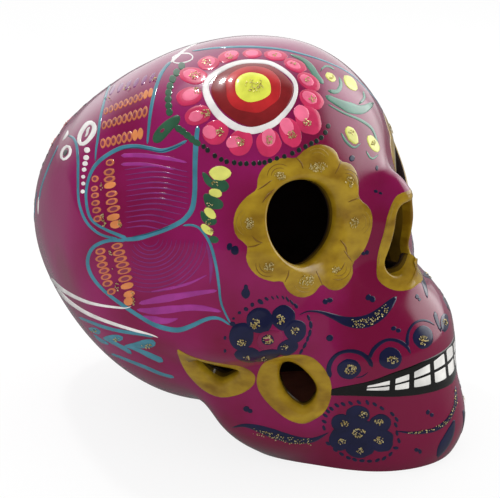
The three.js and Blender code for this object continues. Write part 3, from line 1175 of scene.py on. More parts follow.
# Near the temple
temple_leaves = [
    [(202, 172), (207, 174), (212, 180), (222, 179), (228, 183), (229, 188), (223, 192.4),
     (213, 188.8), (206, 184), (203, 178)],
    [(203.1, 195.3), (206.5, 193.2), (215, 196.6), (222.7, 201.8), (223, 207.6), (217, 209.6),
     (207.4, 207.8), (204.2, 202)],
    [(200.2, 211.4), (203.6, 211.6), (211.2, 218), (217, 219.6), (215.4, 224.6), (207.4, 225),
     (201.6, 219.6)],
    [(209.3, 236.8), (215, 236), (218.9, 239.3), (217, 242.9), (211.2, 242.7)],
]
temple_yellows = [
    (219.9, 173.5, 11, 7.4, 0), (215.5, 192.9, 7.2, 4.6, 12), (210.1, 213.3, 7.6, 4.4, 45),
    (206.9, 229.6, 8, 3.8, 42),
]
temple_glitter = ((210.3, 203.9), (208.8, 222.1), (215.1, 184.3), (211.2, 229.8))
temple_pinch = (3.4, 3, 9)

# The flower on the forehead
flower_middle = (252.9, 90)
flower_disc = (252.9, 89.4, 29, 23.4)
flower_eye = (252.9, 87.4, 19.4, 15.4)
flower_pinch = (254.3, 86, 9, 7, 44)
flower_ring = [
    (253.3, 61.4), (269.6, 63), (284, 70.6), (293.8, 80.2), (296, 90.4), (293, 101.6),
    (284.4, 113.4), (271.6, 124.4), (253.3, 130.4), (238, 127.8), (222.8, 118.6), (212.8, 107),
    (206.4, 93.2), (206.6, 83), (213.4, 75), (225.4, 67.4), (239, 62.6),
]
flower_ring_widths = (
    4.4, 4.6, 4.8, 4.8, 5, 5.4, 6.4, 7.6, 8, 8, 8.2, 8.4, 8.2, 7.2, 6, 5, 4.4,
)
flower_red = [
    (253.3, 63.2), (269.6, 65.4), (283, 73.6), (290.6, 82), (293.6, 87.6), (291.6, 98),
    (284, 110.2), (272.5, 120.8), (255.3, 127), (240.9, 123.9), (226.6, 115), (217, 104.4),
    (211, 92), (213, 81.6), (218, 75), (227.6, 69.2), (239, 64.7),
]
flower_petals = [
    (252.4, 53.6, 10.4, 4.8, 0), (275.4, 55.5, 12.2, 5.4, 6), (294.8, 65.4, 12.6, 6.4, 22),
    (308.6, 81.6, 13.4, 7.6, 32), (311.6, 99.6, 13.8, 9.4, 30), (308.2, 120, 12.2, 15.6, -32),
    (290.6, 132.4, 10.6, 15.6, -20), (268.7, 143.3, 12.8, 13.6, 0),
    (240.4, 142.8, 12.6, 13.6, 24), (215.6, 132.4, 12.6, 13.6, 40),
    (197.8, 115.4, 13.6, 10, -18), (189.4, 96.4, 13.6, 9.4, -16), (193.6, 76, 15, 8.6, 8),
    (208.6, 63, 11.6, 7.2, -6), (228.4, 56.4, 11.4, 5.8, -14),
]
petal_dabs = [
    (252, 53.4, 7.6, 3.2, 0), (274.6, 55, 8, 3.4, 6), (293.6, 65, 8, 4, 22),
    (306.6, 80.4, 8.6, 4.8, 34), (309.6, 97.6, 9, 5.6, 36), (301.6, 113.4, 7.4, 9.6, -34),
    (286.8, 126.4, 6.8, 9.4, -22), (268.8, 137.4, 7.4, 9.6, 0), (234, 142, 8.4, 6.4, -20),
    (209.8, 132.2, 8, 7, 30), (196, 116.4, 8, 5.8, -18), (190.8, 94.8, 9.4, 6, -20),
    (191.6, 74.6, 9, 5.4, 4), (209, 61.6, 7.4, 4.8, -10), (231, 54.6, 7.6, 3.8, -16),
]
petal_glitter = [
    (229.4, 57, 4, 2.6), (207, 63, 4.6, 3.4), (195.2, 75.6, 6, 4), (197.4, 91.4, 3.6, 3.4),
    (205.6, 113.8, 4.6, 4), (219.6, 132.2, 4, 4), (240, 141.4, 4.4, 5), (269, 140.4, 3.6, 4.4),
    (291.4, 134.8, 4.8, 4.4), (307, 122.4, 4, 4.4), (312, 99, 3.4, 3.4), (307, 79.4, 3.4, 3),
    (275, 55.6, 3.6, 1.6), (292.6, 64, 3.4, 2.2),
]
left_chain_dab, right_chain_dab, green_dot = (3.8, 4.4), (4.8, 3.6, 35), (2.6, 2.9)
leaf_vein = (162.4, 130.9, 3.6, 1.7, -45)
green_chain_left = [
    (181.6, 66), (176.6, 72.4), (172.6, 79), (170, 86), (168.6, 92.6), (168.2, 99.2),
    (168.8, 105.6), (169.4, 112),
]
green_leaf = [
    (178, 114.6), (180.4, 118), (178.8, 123.4), (173, 129), (162.6, 140.4), (157, 143.4),
    (152.8, 141.4), (153.4, 134.6), (159.6, 126), (169.2, 118.4),
]
green_chain_right = [
    (178.7, 128.6), (182.6, 131.4), (187.3, 135.2), (191.8, 139), (196.6, 142.8),
]
green_dots = [
    (203.6, 146.4), (207.6, 150.2), (214.8, 155.8), (221.2, 159.4), (226.6, 161.6),
    (234.2, 162.6), (240.4, 163.6), (246.4, 163.6), (253.8, 163.4), (259.6, 163), (264.6, 162.4),
    (270, 160.8), (277, 158.6), (284.4, 156.6), (292.4, 153.2), (299, 150), (305.6, 146.6),
    (311.4, 143.4), (316.6, 141), (321.4, 137.6), (325.4, 132.4), (328.2, 126),
]

# Scrolls over the far brow
far_scrolls = [
    ([(289.8, 54.4), (303, 59.6), (311.3, 67.6), (316.6, 76), (323.4, 83.6)], (2, 4, 6.4, 7.4, 5)),
    ([(320.6, 71.6), (323.6, 66.8), (329, 66.4), (334.6, 70)], (1.6, 2.4, 2.4, 1.6)),
    ([(339, 77), (341, 84.6), (337, 91.6), (328, 90.6)], (2, 4.4, 5, 3.4)),
    ([(325.6, 95.8), (339.5, 103.2), (352.8, 108.6), (363, 109.4), (373.5, 103)],
     (5, 8, 11, 10, 5)),
    ([(363, 91), (364.4, 98), (359, 104)], (2, 3.4, 3)),
    ([(327.9, 104.4), (342.8, 112.6), (359.4, 119.6), (371, 127.6), (376, 138), (378.6, 150)],
     (1.6, 2.6, 3.2, 2.6, 2)),
    ([(341.2, 133), (346.1, 141.6), (354, 147.6), (360.4, 143.6)], (2, 3, 3, 2)),
    ([(366, 151), (371.6, 159), (378.4, 154.6)], (1.6, 2.2, 1.8)),
]
far_yellows = [
    (330.6, 77.1, 6.4, 3.8, 42), (350.4, 83, 10, 4.8, 52), (351.9, 135.4, 10.4, 5.2, 62),
    (373.4, 143.6, 10, 4.8, 60),
]
brow_glitter = ((331, 77), (351, 132), (373, 143))
brow_pinch = (3, 2.6, 14)

# Blue flowers, swooshes and scallops
cheek_petals = [
    (259.6, 320.6, 14, 13.4, 0), (283.6, 317.8, 12.4, 13, 0), (295.2, 330.4, 11.6, 11.2, 0),
    (241.4, 336.4, 12.6, 14.4, 0), (247.9, 355, 13.8, 7.6, 4), (287.4, 347.6, 11.6, 8, -24),
    (266, 355.4, 16, 5.6, -12),
]
cheek_heart = [(259.6, 333.6), (272, 330.4), (282.6, 333), (280.6, 342.6), (266, 350), (257.6, 345.4)]
cheek_bud, cheek_bud_middle = (267.6, 339.6, 7.4, 6), (268.2, 339.4, 4.6, 3.8)
cheek_glitter = [
    (255, 323.4, 5, 5), (280, 319.4, 4.4, 5), (294.7, 330.2, 4, 4), (241.7, 341.8, 4.6, 3.4),
    (247, 357.2, 4, 2.2), (284, 347, 3.6, 3), (263.9, 358.4, 3, 1.8), (268.2, 339, 5, 4.6),
]
cheek_dashes = [
    (233.6, 318.6, 1.6, 1.4, 0), (239.4, 312.8, 2, 1.8, 0), (246, 309.2, 2.6, 2.2, 20),
    (252.3, 304.7, 2.2, 2.4, 0), (260.4, 301.8, 3.6, 2.4, 40), (266.6, 298.9, 2.8, 1.6, 35),
    (272.7, 297.9, 2.6, 1, 50), (277.5, 297, 2.4, 1, 60), (283.1, 297.6, 2.6, 1, 58),
    (287.4, 299.2, 3.4, 1.2, 62), (291.8, 302.6, 3.6, 1.3, 50), (296, 306, 3.2, 1.8, 55),
    (308.6, 317.7, 3.6, 1.5, 70), (310.8, 324.8, 4.4, 1.9, 85), (309.9, 332.9, 4.2, 1.7, 100),
    (307.7, 338.9, 3.6, 1.6, 105), (304.8, 345.4, 4, 1.6, 115), (301.2, 351.6, 3.6, 1.4, 120),
    (232.6, 324, 3.2, 2.6, 20), (225, 338, 1.6, 2.2, 0), (225, 351, 1.6, 2, 0),
]
jaw_petals = [
    (357.6, 414.6, 12.4, 9.6, 0), (380.6, 423, 11, 9, 0), (381.6, 440.6, 12.6, 12, 0),
    (360, 449.4, 14, 8.8, 0), (340.4, 439, 11.6, 12, 0), (341.4, 422.8, 10.6, 9, 0),
    (360.6, 432.4, 18, 13, 0),
]
jaw_glitter = [
    (363, 414.2, 4.4, 3.2), (378.4, 421.8, 4.6, 3.2), (379, 440, 4.8, 4), (360.6, 450.4, 4, 3),
    (342, 441, 4.2, 3), (344.8, 423, 4.4, 3.2), (358.8, 432.6, 6.6, 4.6),
]
jaw_dash_half = (3.2, 1.7)
jaw_dashes_turns = (
    (324.2, 421.6, 30), (325.3, 415.6, 35), (327.9, 411.4, 40), (331.4, 408.8, 40),
    (336.8, 405.4, 35), (343.2, 404.2, 35), (350.5, 403.2, 40), (358.9, 402.4, 40),
    (367.4, 402.6, 60), (374.7, 404.4, 40), (382, 408.4, 38), (392.4, 414.2, 45),
    (396.6, 419.4, 55), (395.8, 425, 60), (397, 433.2, 80), (399, 440.8, 75), (395.8, 448, 0),
    (390.5, 454.2, 130), (384.2, 458.4, 140), (377.4, 460.3, 150), (369.5, 461.2, 0),
    (362, 460.7, 0), (354.7, 459.7, 20), (348.4, 457.9, 25), (341.6, 454.2, 30),
    (335.3, 450, 35), (328, 443.6, 38), (324, 428, 70),
)
navy_lines = [
    ([(299, 315), (308, 311.4), (320, 312), (332, 316), (345, 321), (358, 322.6), (370, 320),
      (381, 313), (389, 305), (396.5, 296.5)], (0.8, 1.8, 3, 6, 10, 12.6, 14, 14, 10.6, 3)),
    ([(232, 427.4), (244, 425.4), (257, 428), (273, 433.6), (290, 438.8), (304, 440.6),
      (315, 439.4), (328.6, 432.6)], (1, 4.4, 8.4, 11, 10, 7, 4.6, 1)),
    ([(396.8, 431), (410.5, 432.8), (424.2, 432), (435.8, 429), (445.3, 422.6),
      (451.6, 414.2), (455.6, 402.6), (455.6, 386)], (1, 3, 4, 4.4, 4.4, 4, 3.4, 2)),
    ([(330.5, 377.4), (328.6, 368.6), (332, 359.8), (339, 353.4), (349.5, 351), (360, 353),
      (368, 358.8), (372.3, 367)], (5.6, 5.2, 4.6, 4.2, 4.2, 4.6, 5.6, 5)),
    ([(369, 359), (373.4, 349.6), (382, 342), (390.5, 339.6), (400, 341.8), (407, 347),
      (410.6, 353.6)], (5, 4.6, 4.2, 3.6, 4, 4.6, 2)),
    ([(407.4, 347), (407.4, 337), (409.5, 329.4), (414.7, 323), (422, 320.2), (429.5, 321.8),
      (434.4, 325.4)], (4.4, 3.8, 3.2, 3, 2.8, 2.4, 1.2)),
    ([(434.6, 311.6), (436.8, 320.5), (441, 331.6)], (5, 4.2, 2.6)),
    ([(419, 273.4), (423, 281), (425.6, 289.6), (427.4, 298)], (2, 4.4, 4.6, 2)),
    ([(443, 296), (447, 303), (450, 311)], (3, 4, 2.4)),
    ([(368, 372.4), (362, 376.6), (356, 377.6)], (0.8, 1.4, 1.2)),
]
lip_dots = [(349, 369, 12.2, 10.2), (390.5, 358.2, 12, 11.2), (423, 337.2, 10.4, 12),
            (444.6, 322.6, 4.4, 9.6)]
# Glitter along the blue strokes: a path, how far it spreads, and a count
blue_glitter = [
    ([(352, 323.7), (363, 323), (374, 318.6), (386, 309)], 4.4, 44),
    ([(256, 431), (275, 436), (295, 440.6), (311, 441)], 3.6, 40),
    ([(410, 433), (430, 430.6), (446, 421), (454, 406), (455, 390)], 2.0, 30),
]
lip_glitter = [(350.4, 369.2, 6.2, 4.8), (392.6, 359.6, 6, 3.8), (423, 341.4, 4.8, 5.6),
               (444.4, 322, 2.4, 5)]
chin_leaf = [
    (436.8, 458), (437.9, 446.8), (444.6, 434.6), (450.3, 425), (454.8, 418.8), (454.6, 431),
    (450.5, 442.6), (444.4, 451.6),
]
navy_hearts = [
    (229.4, 246.8, 3, 4.2, 10), (234.9, 250.4, 4.2, 5, 0), (245.7, 293.4, 4.6, 5.6, 0),
    (245.9, 288, 2.4, 4, 0), (363.4, 253.6, 2.6, 2, 0), (367, 252.4, 2.4, 2.6, 0),
    (368.4, 297.4, 3, 3.6, 30), (372.2, 299, 3.2, 3.8, -30), (351.9, 158.4, 3, 3.6, 20),
    (376.9, 168, 1.6, 3, 0), (375.8, 191.3, 2.4, 1.8, 20), (380.6, 193.2, 2.2, 1.4, 20),
    (325.4, 301.6, 3, 3.2, 30), (329.8, 300.2, 3.4, 2.8, 0), (329.8, 338, 3.8, 3.6, 0),
    (393.6, 328.4, 3, 2.4, -20), (398.4, 330.6, 2.8, 2.4, 0), (246.4, 409, 3.4, 3.2, 0),
    (250, 411, 3, 2.4, 20), (427.9, 412.2, 2.2, 2.8, 20), (431.8, 415, 2.4, 2.2, 30),
    (416.6, 450, 2.6, 2.2, 0), (420, 451.6, 2, 2.6, 0), (417, 296.6, 2, 2.8, 0),
    (419.4, 299.4, 1.8, 2, 0),
]

# The mouth, in millimetres from the middle and up
mouth_edge = [
    (34.4, 28.6, 27.8), (33.4, 29.4, 27), (27.1, 32.2, 26.4), (22.1, 34.4, 25.6),
    (14.5, 35.8, 24.7), (8.6, 36.1, 24.2), (0, 36.2, 23.6),
]
tooth_top = [(28.4, 30.2), (22.8, 31.9), (18, 33), (9.8, 34.5), (1.6, 35.4), (0, 35.5)]
tooth_middle = [(28.4, 29.5), (22.4, 30), (17.7, 30.6), (10, 31), (2.6, 31.1), (0, 31.1)]
tooth_bottom = [(28.4, 28.8), (22.3, 28.1), (17.3, 27.7), (8.9, 26.8), (1.2, 26.4), (0, 26.4)]
tooth_joints = [-28.4, -22.6, -17.7, -9.9, -2.3, 5.3, 12.9, 19, 23.6, 28.4]
tooth_gap = 0.15

# Lobes of the gold rosette and marks on them. The brown marks where two lobes meet are painted shade
# in the creases between the lobes
rosette_lobes = [
    (317, 160.6, 20, 13.6), (346.4, 181.6, 13, 20), (357.4, 222, 13, 22), (337.6, 267, 18, 18),
    (305, 279.6, 19, 15.6), (267.6, 264.6, 17, 16), (250.6, 222.4, 16, 24),
    (279.6, 176.6, 21, 13.6),
]
rosette_middle = (303, 221)
# Arcs on each lobe: a share of its reach, and a width
rosette_arcs = ((0.5, 0.9), (0.72, 1.0))
arc_marks = 9
arc_half_turn = 1.15
arc_turn_shares = (0.8, 0.2)
arc_end_width = 0.5
rosette_crease_shade_widths = (0.8, 2.2, 0.8)
rosette_crease_shades = [
    [(257.6, 190), (264, 186), (272, 180)], [(296, 157.6), (301, 163), (303, 169)],
    [(340.6, 161), (338, 168), (334.6, 174)], [(358.6, 198), (352.6, 200), (348, 202)],
    [(352, 262), (347, 255), (343.4, 250)], [(322, 285), (318.6, 277), (316, 271)],
    [(284.6, 282), (287.6, 276), (289, 270)], [(247.4, 247), (254.6, 246), (261, 243.4)],
    [(262, 203), (268, 195), (275, 189)], [(252, 236), (257, 241), (263, 243)],
    [(340, 240), (345, 246), (347, 254)], [(345, 262), (341, 269), (334, 274)],
]
rosette_glitter = [
    (317.6, 167, 9, 5), (349, 182, 4, 5.4), (354, 223, 4.4, 5.4), (335.4, 269.6, 4.6, 3.6),
    (306, 280, 8, 5), (269, 266.6, 5, 4.4), (249.4, 223.4, 4.4, 5.4), (280, 176, 5.6, 4.4),
]


def draw_lines(colour, strokes, lift, **more):
    for path, widths in strokes:
        line(colour, path, widths, lift, **more)


layer_step = 0.012


def draw_ovals(colour, spots, lift, step=layer_step, **more):
    for k, spot in enumerate(spots):
        oval(colour, spot, lift + k % 3 * step, **more)


def draw_dabs(colour, spots, dab, lift):
    """The same dab at each spot."""
    for spot in spots:
        oval(colour, (*spot, *dab), lift)


mauve_share = 0.66
mauve_shift = 0.1


def orange_dab(x, y, half_x, half_y, turn, filled):
    """A loop of thin orange round a darker middle, as a loaded brush leaves it."""
    oval("orange" if filled else "dull_orange", (x, y, half_x, half_y, turn), lift_leaf)
    if not filled:
        spot = (x - mauve_shift, y + mauve_shift, half_x * mauve_share, half_y * mauve_share, turn)
        oval("mauve", spot, lift_dab)


orange_height_share = 0.92
orange_column_turn = -14
orange_glitter = [
    (109, 99.3, 4, 2, 8), (127.2, 88.8, 4, 2.4, 10), (154, 78.3, 3.4, 3, 10),
    (102.3, 186.7, 1.6, 4, 7), (103.3, 217, 2.2, 4.6, 14), (104.6, 223.4, 2.4, 3, 10),
    (120.4, 223.6, 2.4, 3.4, 16), (110.4, 253.7, 2, 3, 8), (112.8, 269.5, 1, 1.4, 2),
    (117.6, 286.4, 2.2, 5, 12), (134.4, 301.5, 2.2, 3.4, 12), (133, 294, 1.6, 3, 6),
]
teal_glitter = [(147.4, 345.6, 5.4, 2.4, 22), (117, 339, 3.2, 2, 12), (94.8, 331, 2.6, 2, 8)]


def paint_wings():
    draw_lines("turquoise", teal_lines, lift_line)
    for outline in teal_leaves:
        blob("turquoise", outline, lift_line)
    draw_lines("deep_teal", deep_teal_lines, lift_shade)
    draw_lines("white", white_lines, lift_white)
    for x, y, half in white_curls:
        oval("white", (x, y, half * curl_stretch, half), lift_line)
    line("white", white_ring, white_ring_widths, lift_line, closed=True)
    line("white", oval_points(*small_loop), small_loop_widths, lift_line, closed=True)
    oval("dark_green", small_loop_middle, lift_line)
    line("white", oval_points(*crown_loop), crown_loop_widths, lift_line, closed=True)
    for x0, y0, x1, y1, count, half_x, half_y, last_half_y, turn, filled in orange_rows:
        for k in range(count):
            share = k / (count - 1)
            size = (half_y + (last_half_y - half_y) * share) * orange_height_share
            x = x0 + (x1 - x0) * share
            y = y0 + (y1 - y0) * share
            orange_dab(x, y, half_x, size, turn, k >= count - filled)
    for column in orange_columns:
        for x, y, half_x, half_y, filled in column:
            orange_dab(x, y, half_x, half_y, orange_column_turn, filled)
    for pinch in orange_glitter + teal_glitter:
        glitter(*pinch)


# Thin violet strokes: dabs by the crown, rows on the temple, which narrow further down, arcs
# round the hollow of the cheek, and one stroke beside them
violet_dabs = 7
violet_dab_path = np.array([(-2.4, 5.4), (0, 0), (3.2, -5)])
violet_dab_widths = (2.4, 4.6, 2.6)
violet_from_y, violet_to_y, violet_step = 169.7, 228, 5.3
violet_left, violet_right = 125, 189
violet_start_least, violet_start_most = -1, 2
violet_narrows_from = 205
violet_narrowing = 1.1
violet_bow_share = 0.05
violet_drop = 2.4
violet_row_widths = (0.8, 1.7, 1.7, 0.8)
violet_arc_radii = np.arange(9, 58, 4.4)
violet_arc_middle = np.array([150, 238])
violet_arc_left = -19
violet_arc_squash = np.array([1, 0.94])
violet_arc_start = 0.06
violet_arc_least = -0.94
violet_arc_widths = (0.6, 1.3, 1.3, 0.6)
violet_last = [([(206, 242), (210, 256), (211, 270), (210, 284)], (1, 4, 4, 1))]


def paint_violet():
    draw_lines("violet_bright", violet_broad, lift_low)
    start, end = np.array([violet_dabs_from, violet_dabs_to], float)
    for share in np.linspace(0, 1, violet_dabs):
        path = start + (end - start) * share + violet_dab_path
        line("violet", path, violet_dab_widths, lift_low)
    for y in np.arange(violet_from_y, violet_to_y, violet_step):
        right = violet_right - max(0, y - violet_narrows_from) * violet_narrowing
        bow = (right - violet_left) * violet_bow_share
        left = violet_left + chance.uniform(violet_start_least, violet_start_most)
        path = [(left, y), ((violet_left + right) / 2, y - bow), (right, y + violet_drop)]
        line("violet", path, violet_row_widths, lift_low)
    for radius in violet_arc_radii:
        last = math.acos(max(violet_arc_least, violet_arc_left / radius))
        angles = np.linspace(violet_arc_start, last, arc_marks)
        arc = np.stack([np.cos(angles), np.sin(angles)], axis=-1) * violet_arc_squash
        line("violet", violet_arc_middle + radius * arc, violet_arc_widths, lift_low)
    draw_lines("violet", violet_last, lift_low)


def paint_temple():
    for outline in temple_leaves:
        blob("leaf_green", outline, lift_leaf)
    draw_ovals("yellow_leaf", temple_yellows, lift_leaf_top)
    for spot in temple_glitter:
        glitter(*spot, *temple_pinch)


def paint_flower(twin):
    draw_ovals("petal", flower_petals, lift_petal, twin=twin)
    draw_ovals("petal_bright", petal_dabs, lift_dab, twin=twin)
    sprinkle(petal_glitter, lift=petal_glitter_lift, twin=twin)
    line("white", flower_ring, flower_ring_widths, lift_ring, twin=twin, closed=True)
    blob("dark_red", flower_red, lift_red, twin=twin, middle=flower_middle)
    oval("red", flower_disc, lift_bright, twin=twin)
    oval("yellow", flower_eye, lift_yellow, twin=twin)
    glitter(*flower_pinch, lift=top_glitter_lift, twin=twin)


def paint_brow():
    draw_dabs("leaf_green", green_chain_left, left_chain_dab, lift_leaf)
    draw_dabs("leaf_green", green_chain_right, right_chain_dab, lift_leaf)
    blob("leaf_green", green_leaf, lift_leaf)
    oval("glaze_dark", leaf_vein, lift_dab)
    draw_dabs("dark_green", green_dots, green_dot, lift_leaf)
    draw_lines("scroll_green", far_scrolls, lift_leaf, twin="none")
    draw_ovals("yellow_leaf", far_yellows, lift_dab, twin="none")
    for spot in brow_glitter:
        glitter(*spot, *brow_pinch, twin="none")


def paint_blue():
    draw_ovals("navy", cheek_petals, lift_petal)
    blob("glaze_dark", cheek_heart, lift_dab)
    oval("navy", cheek_bud, lift_ring)
    oval("glaze_dark", cheek_bud_middle, lift_red)
    draw_ovals("navy", cheek_dashes, lift_petal)
    sprinkle(cheek_glitter)
    draw_ovals("navy", jaw_petals, lift_petal)
    sprinkle(jaw_glitter)
    for x, y, turn in jaw_dashes_turns:
        oval("navy", (x, y, *jaw_dash_half, turn), lift_petal)
    draw_lines("navy", navy_lines, lift_line)
    draw_ovals("navy", lip_dots, lift_petal, step=0)
    sprinkle(lip_glitter)
    blob("navy", chin_leaf, lift_petal)
    draw_ovals("navy", navy_hearts, lift_petal)
    for path, spread, count in blue_glitter:
        glitter_along(path, spread, count)


def paint_rosette():
    least_turn, more_turn = arc_turn_shares
    for k, (x, y, half_x, half_y) in enumerate(rosette_lobes):
        facing = math.atan2(y - rosette_middle[1], x - rosette_middle[0])
        for share, width in rosette_arcs:
            reach = share * (half_x + half_y) / 2
            turns = np.linspace(-arc_half_turn, arc_half_turn, arc_marks)
            angles = facing + turns * (least_turn + more_turn * share)
            arc = np.stack([x + reach * np.cos(angles), y + reach * np.sin(angles)], axis=-1)
            widths = (arc_end_width, width, width, arc_end_width)
            line("brown_gold" if k % 2 else "pale_gold", arc, widths, lift_gold)
    # Brown marks where lobes meet: painted shade in the creases
    draw_lines("brown_gold", [(path, rosette_crease_shade_widths) for path in rosette_crease_shades], lift_gold)
    sprinkle(rosette_glitter, lift=petal_glitter_lift)


# The mouth: a black band with teeth, from edges given in millimetres


strip_edge_share, strip_flat_share = 0.88, 0.72


def strip(colour, lower, upper, lift):
    """A patch between two edges with the same number of points, seen from straight in front."""
    rows = max(3, int(np.linalg.norm(upper - lower, axis=1).max() / patch_step) + 2)
    across, heights = cross_section(strip_edge_share, strip_flat_share, rows, lift)
    spots = lower[:, None] + (upper - lower)[:, None] * (1 + across[:, None]) / 2
    points = on_front(spots.reshape(-1, 2) * (1, -1))
    lifts = np.tile(heights, (len(lower), 1))
    lifts[[0, -1]] = -sink
    lay(colour, points, lifts.ravel(), tube_faces(len(lower), len(across)), "none")


def height_at(table, x):
    table = np.array(table, float)
    order = np.argsort(table[:, 0])
    return np.interp(np.abs(x), table[order, 0], table[order, 1])


mouth_marks = 40
band_marks = 79
tooth_marks = 9
tooth_corner_share = 0.16
tooth_corner_power = 5
least_tooth = 0.5


def paint_mouth():
    edge = np.array(mouth_edge, float)
    x = np.linspace(-edge[0, 0], edge[0, 0], band_marks)
    upper, lower = (
        np.stack([x, height_at(smooth_path(edge[:, [0, column]], mouth_marks), x)], axis=-1)
        for column in (1, 2)
    )
    strip("black", lower, upper, lift_leaf)
    bend = np.abs(np.linspace(-1, 1, tooth_marks)) ** tooth_corner_power
    corners = 1 - tooth_corner_share * bend
    for left, right in zip(tooth_joints[:-1], tooth_joints[1:]):
        x = np.linspace(left + tooth_gap, right - tooth_gap, tooth_marks)
        middle = height_at(tooth_middle, x)
        for table, way in ((tooth_top, 1), (tooth_bottom, -1)):
            tall = height_at(table, x) - middle
            foot = np.stack([x, middle + way * tooth_gap], axis=-1)
            head = np.stack([x, middle + tall * corners], axis=-1)
            if (way * tall).min() > least_tooth:
                strip("tooth", *(foot, head)[::way], lift_ring)


# The back, which the photograph doesn't show: a flower in a ring of dots, and scrolls

back_flower = np.array([250.0, 214.0])
# Half widths and half heights of rings round the flower's middle, and of the dabs on them
back_petal_ring, back_petal_half = (50, 47), (15.6, 13)
back_bright_ring, back_bright_half = (46, 43), (9, 7.6)
back_petal_pinch = (4.6, 4.6, 20)
back_white_ring, back_white_widths = (35, 33), (5.6,)
back_discs = (("dark_red", (33, 31), lift_red), ("red", (25, 23.4), lift_bright),
              ("yellow", (16, 15), lift_yellow))
back_dot_ring, back_dot_half = (75, 71), (2.8, 2.8)
# Scrolls and dabs under the flower, from its middle, for both sides
back_scroll = [(8, 94), (30, 106), (58, 104), (82, 90), (96, 68), (98, 44)]
back_scroll_widths = (2, 4, 5, 5, 4, 2)
back_dabs = ((14, 112), (26, 118), (39, 120), (52, 118), (65, 112), (77, 103))
back_orange_half, back_mauve_half = (3.4, 6.4), (2.2, 4.2)
back_upright_dab = 44
back_scroll_glitter = (66, 76)
back_scroll_pinch = (4, 4, 24)
back_petals = 11
back_dots = 30


def on_ring(ring, turn):
    """A spot on a ring round the flower at the back."""
    return back_flower + (ring[0] * math.cos(turn), ring[1] * math.sin(turn))


def paint_back():
    more = {"place": on_rear, "twin": "none"}
    for k in range(back_petals):
        turn = 2 * math.pi * k / back_petals
        tilt = math.degrees(turn)
        spot = on_ring(back_petal_ring, turn)
        oval("petal", (*spot, *back_petal_half, tilt), lift_petal, **more)
        bright = on_ring(back_bright_ring, turn)
        oval("petal_bright", (*bright, *back_bright_half, tilt), lift_dab, **more)
        glitter(*spot, *back_petal_pinch, lift=petal_glitter_lift, **more)
    ring = oval_points(*back_flower, *back_white_ring)
    line("white", ring, back_white_widths, lift_ring, closed=True, **more)
    for colour, half, lift in back_discs:
        oval(colour, (*back_flower, *half), lift, **more)
    for k in range(back_dots):
        spot = on_ring(back_dot_ring, 2 * math.pi * (k + 0.5) / back_dots)
        oval("dark_green", (*spot, *back_dot_half), lift_leaf, **more)
    for side in (-1, 1):
        scroll = back_flower + np.array(back_scroll) * (side, 1)
        line("turquoise", scroll, back_scroll_widths, lift_line, **more)
        for a, b in back_dabs:
            spot = back_flower + (side * a, b)
            tilt = -side * (a - back_upright_dab)
            oval("orange", (*spot, *back_orange_half, tilt), lift_leaf, **more)
            oval("mauve", (*spot, *back_mauve_half, tilt), lift_dab, **more)
        spot = back_flower + np.array(back_scroll_glitter) * (side, 1)
        glitter(*spot, *back_scroll_pinch, **more)


# Paint colours, read from the photograph as it shows on a screen

paint_tones = {
    "turquoise": (62, 124, 142),
    "deep_teal": (36, 84, 106),
    "white": (226, 222, 220),
    "orange": (212, 130, 76),
    "dull_orange": (190, 108, 70),
    "mauve": (128, 50, 74),
    "violet": (120, 42, 108),
    "leaf_green": (44, 86, 62),
    "dark_green": (28, 40, 36),
    "scroll_green": (78, 124, 106),
    "yellow": (222, 226, 80),
    "yellow_leaf": (214, 214, 108),
    "petal": (196, 46, 90),
    "petal_bright": (234, 108, 142),
    "red": (178, 34, 38),
    "dark_red": (126, 26, 30),
    "navy": (20, 23, 56),
    "black": (14, 12, 13),
    "tooth": (226, 224, 220),
    "glaze_dark": (118, 24, 66),
    "pale_gold": (150, 120, 42),
    "brown_gold": (112, 78, 22),
    "violet_bright": (150, 48, 132),
}
darker_share = 0.78
lighter_share = 1.14


# From a screen's numbers to shares of light
screen_white = 255
dim_share, dim_slope = 0.04045, 12.92
bright_offset, bright_power = 0.055, 2.4
lightest = 0.9
paint_patch_scale = 160


def from_screen(tone, share):
    shares = np.array(tone) / screen_white
    bright = ((shares + bright_offset) / (1 + bright_offset)) ** bright_power
    linear = np.where(shares <= dim_share, shares / dim_slope, bright)
    return tuple(np.clip(linear * share, 0, lightest).tolist())


def make_paint():
    for colour, group in paint_parts.items():
        name = "paint_" + colour
        points = settle(np.vstack(group["points"]))
        lifts = np.concatenate(group["lifts"])
        points = points + lifts[:, None] * skin_slope(points)
        piece = mesh_object(name, points, group["faces"])
        tones = [from_screen(paint_tones[colour], share) for share in (darker_share, lighter_share)]
        piece.data.materials.append(varnished(name, *tones, patch_scale=paint_patch_scale))
        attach(piece, "root")


flake_half = 0.21
flake_size_least, flake_size_most = 0.7, 1.2
flake_corners = 6
flake_rise = 0.06
flake_tilt = 0.35
flake_patches = (900, 1)
flake_tones = ((0.42, 0.28, 0.06), (0.8, 0.7, 0.36))
flake_metal = 0.5
flake_roughness = 0.35
flake_thick = 0.05


def glitter_material():
    material, tree = new_material("glitter")
    share = noise_share(tree, add_node(tree, "ShaderNodeTexCoord")["Object"], *flake_patches)
    shade(tree, {
        "Base Color": mixed_colour(tree, share, *flake_tones),
        "Metallic": flake_metal,
        "Roughness": flake_roughness,
    })
    return material


def unit(ways):
    return ways / np.linalg.norm(ways, axis=1, keepdims=True)


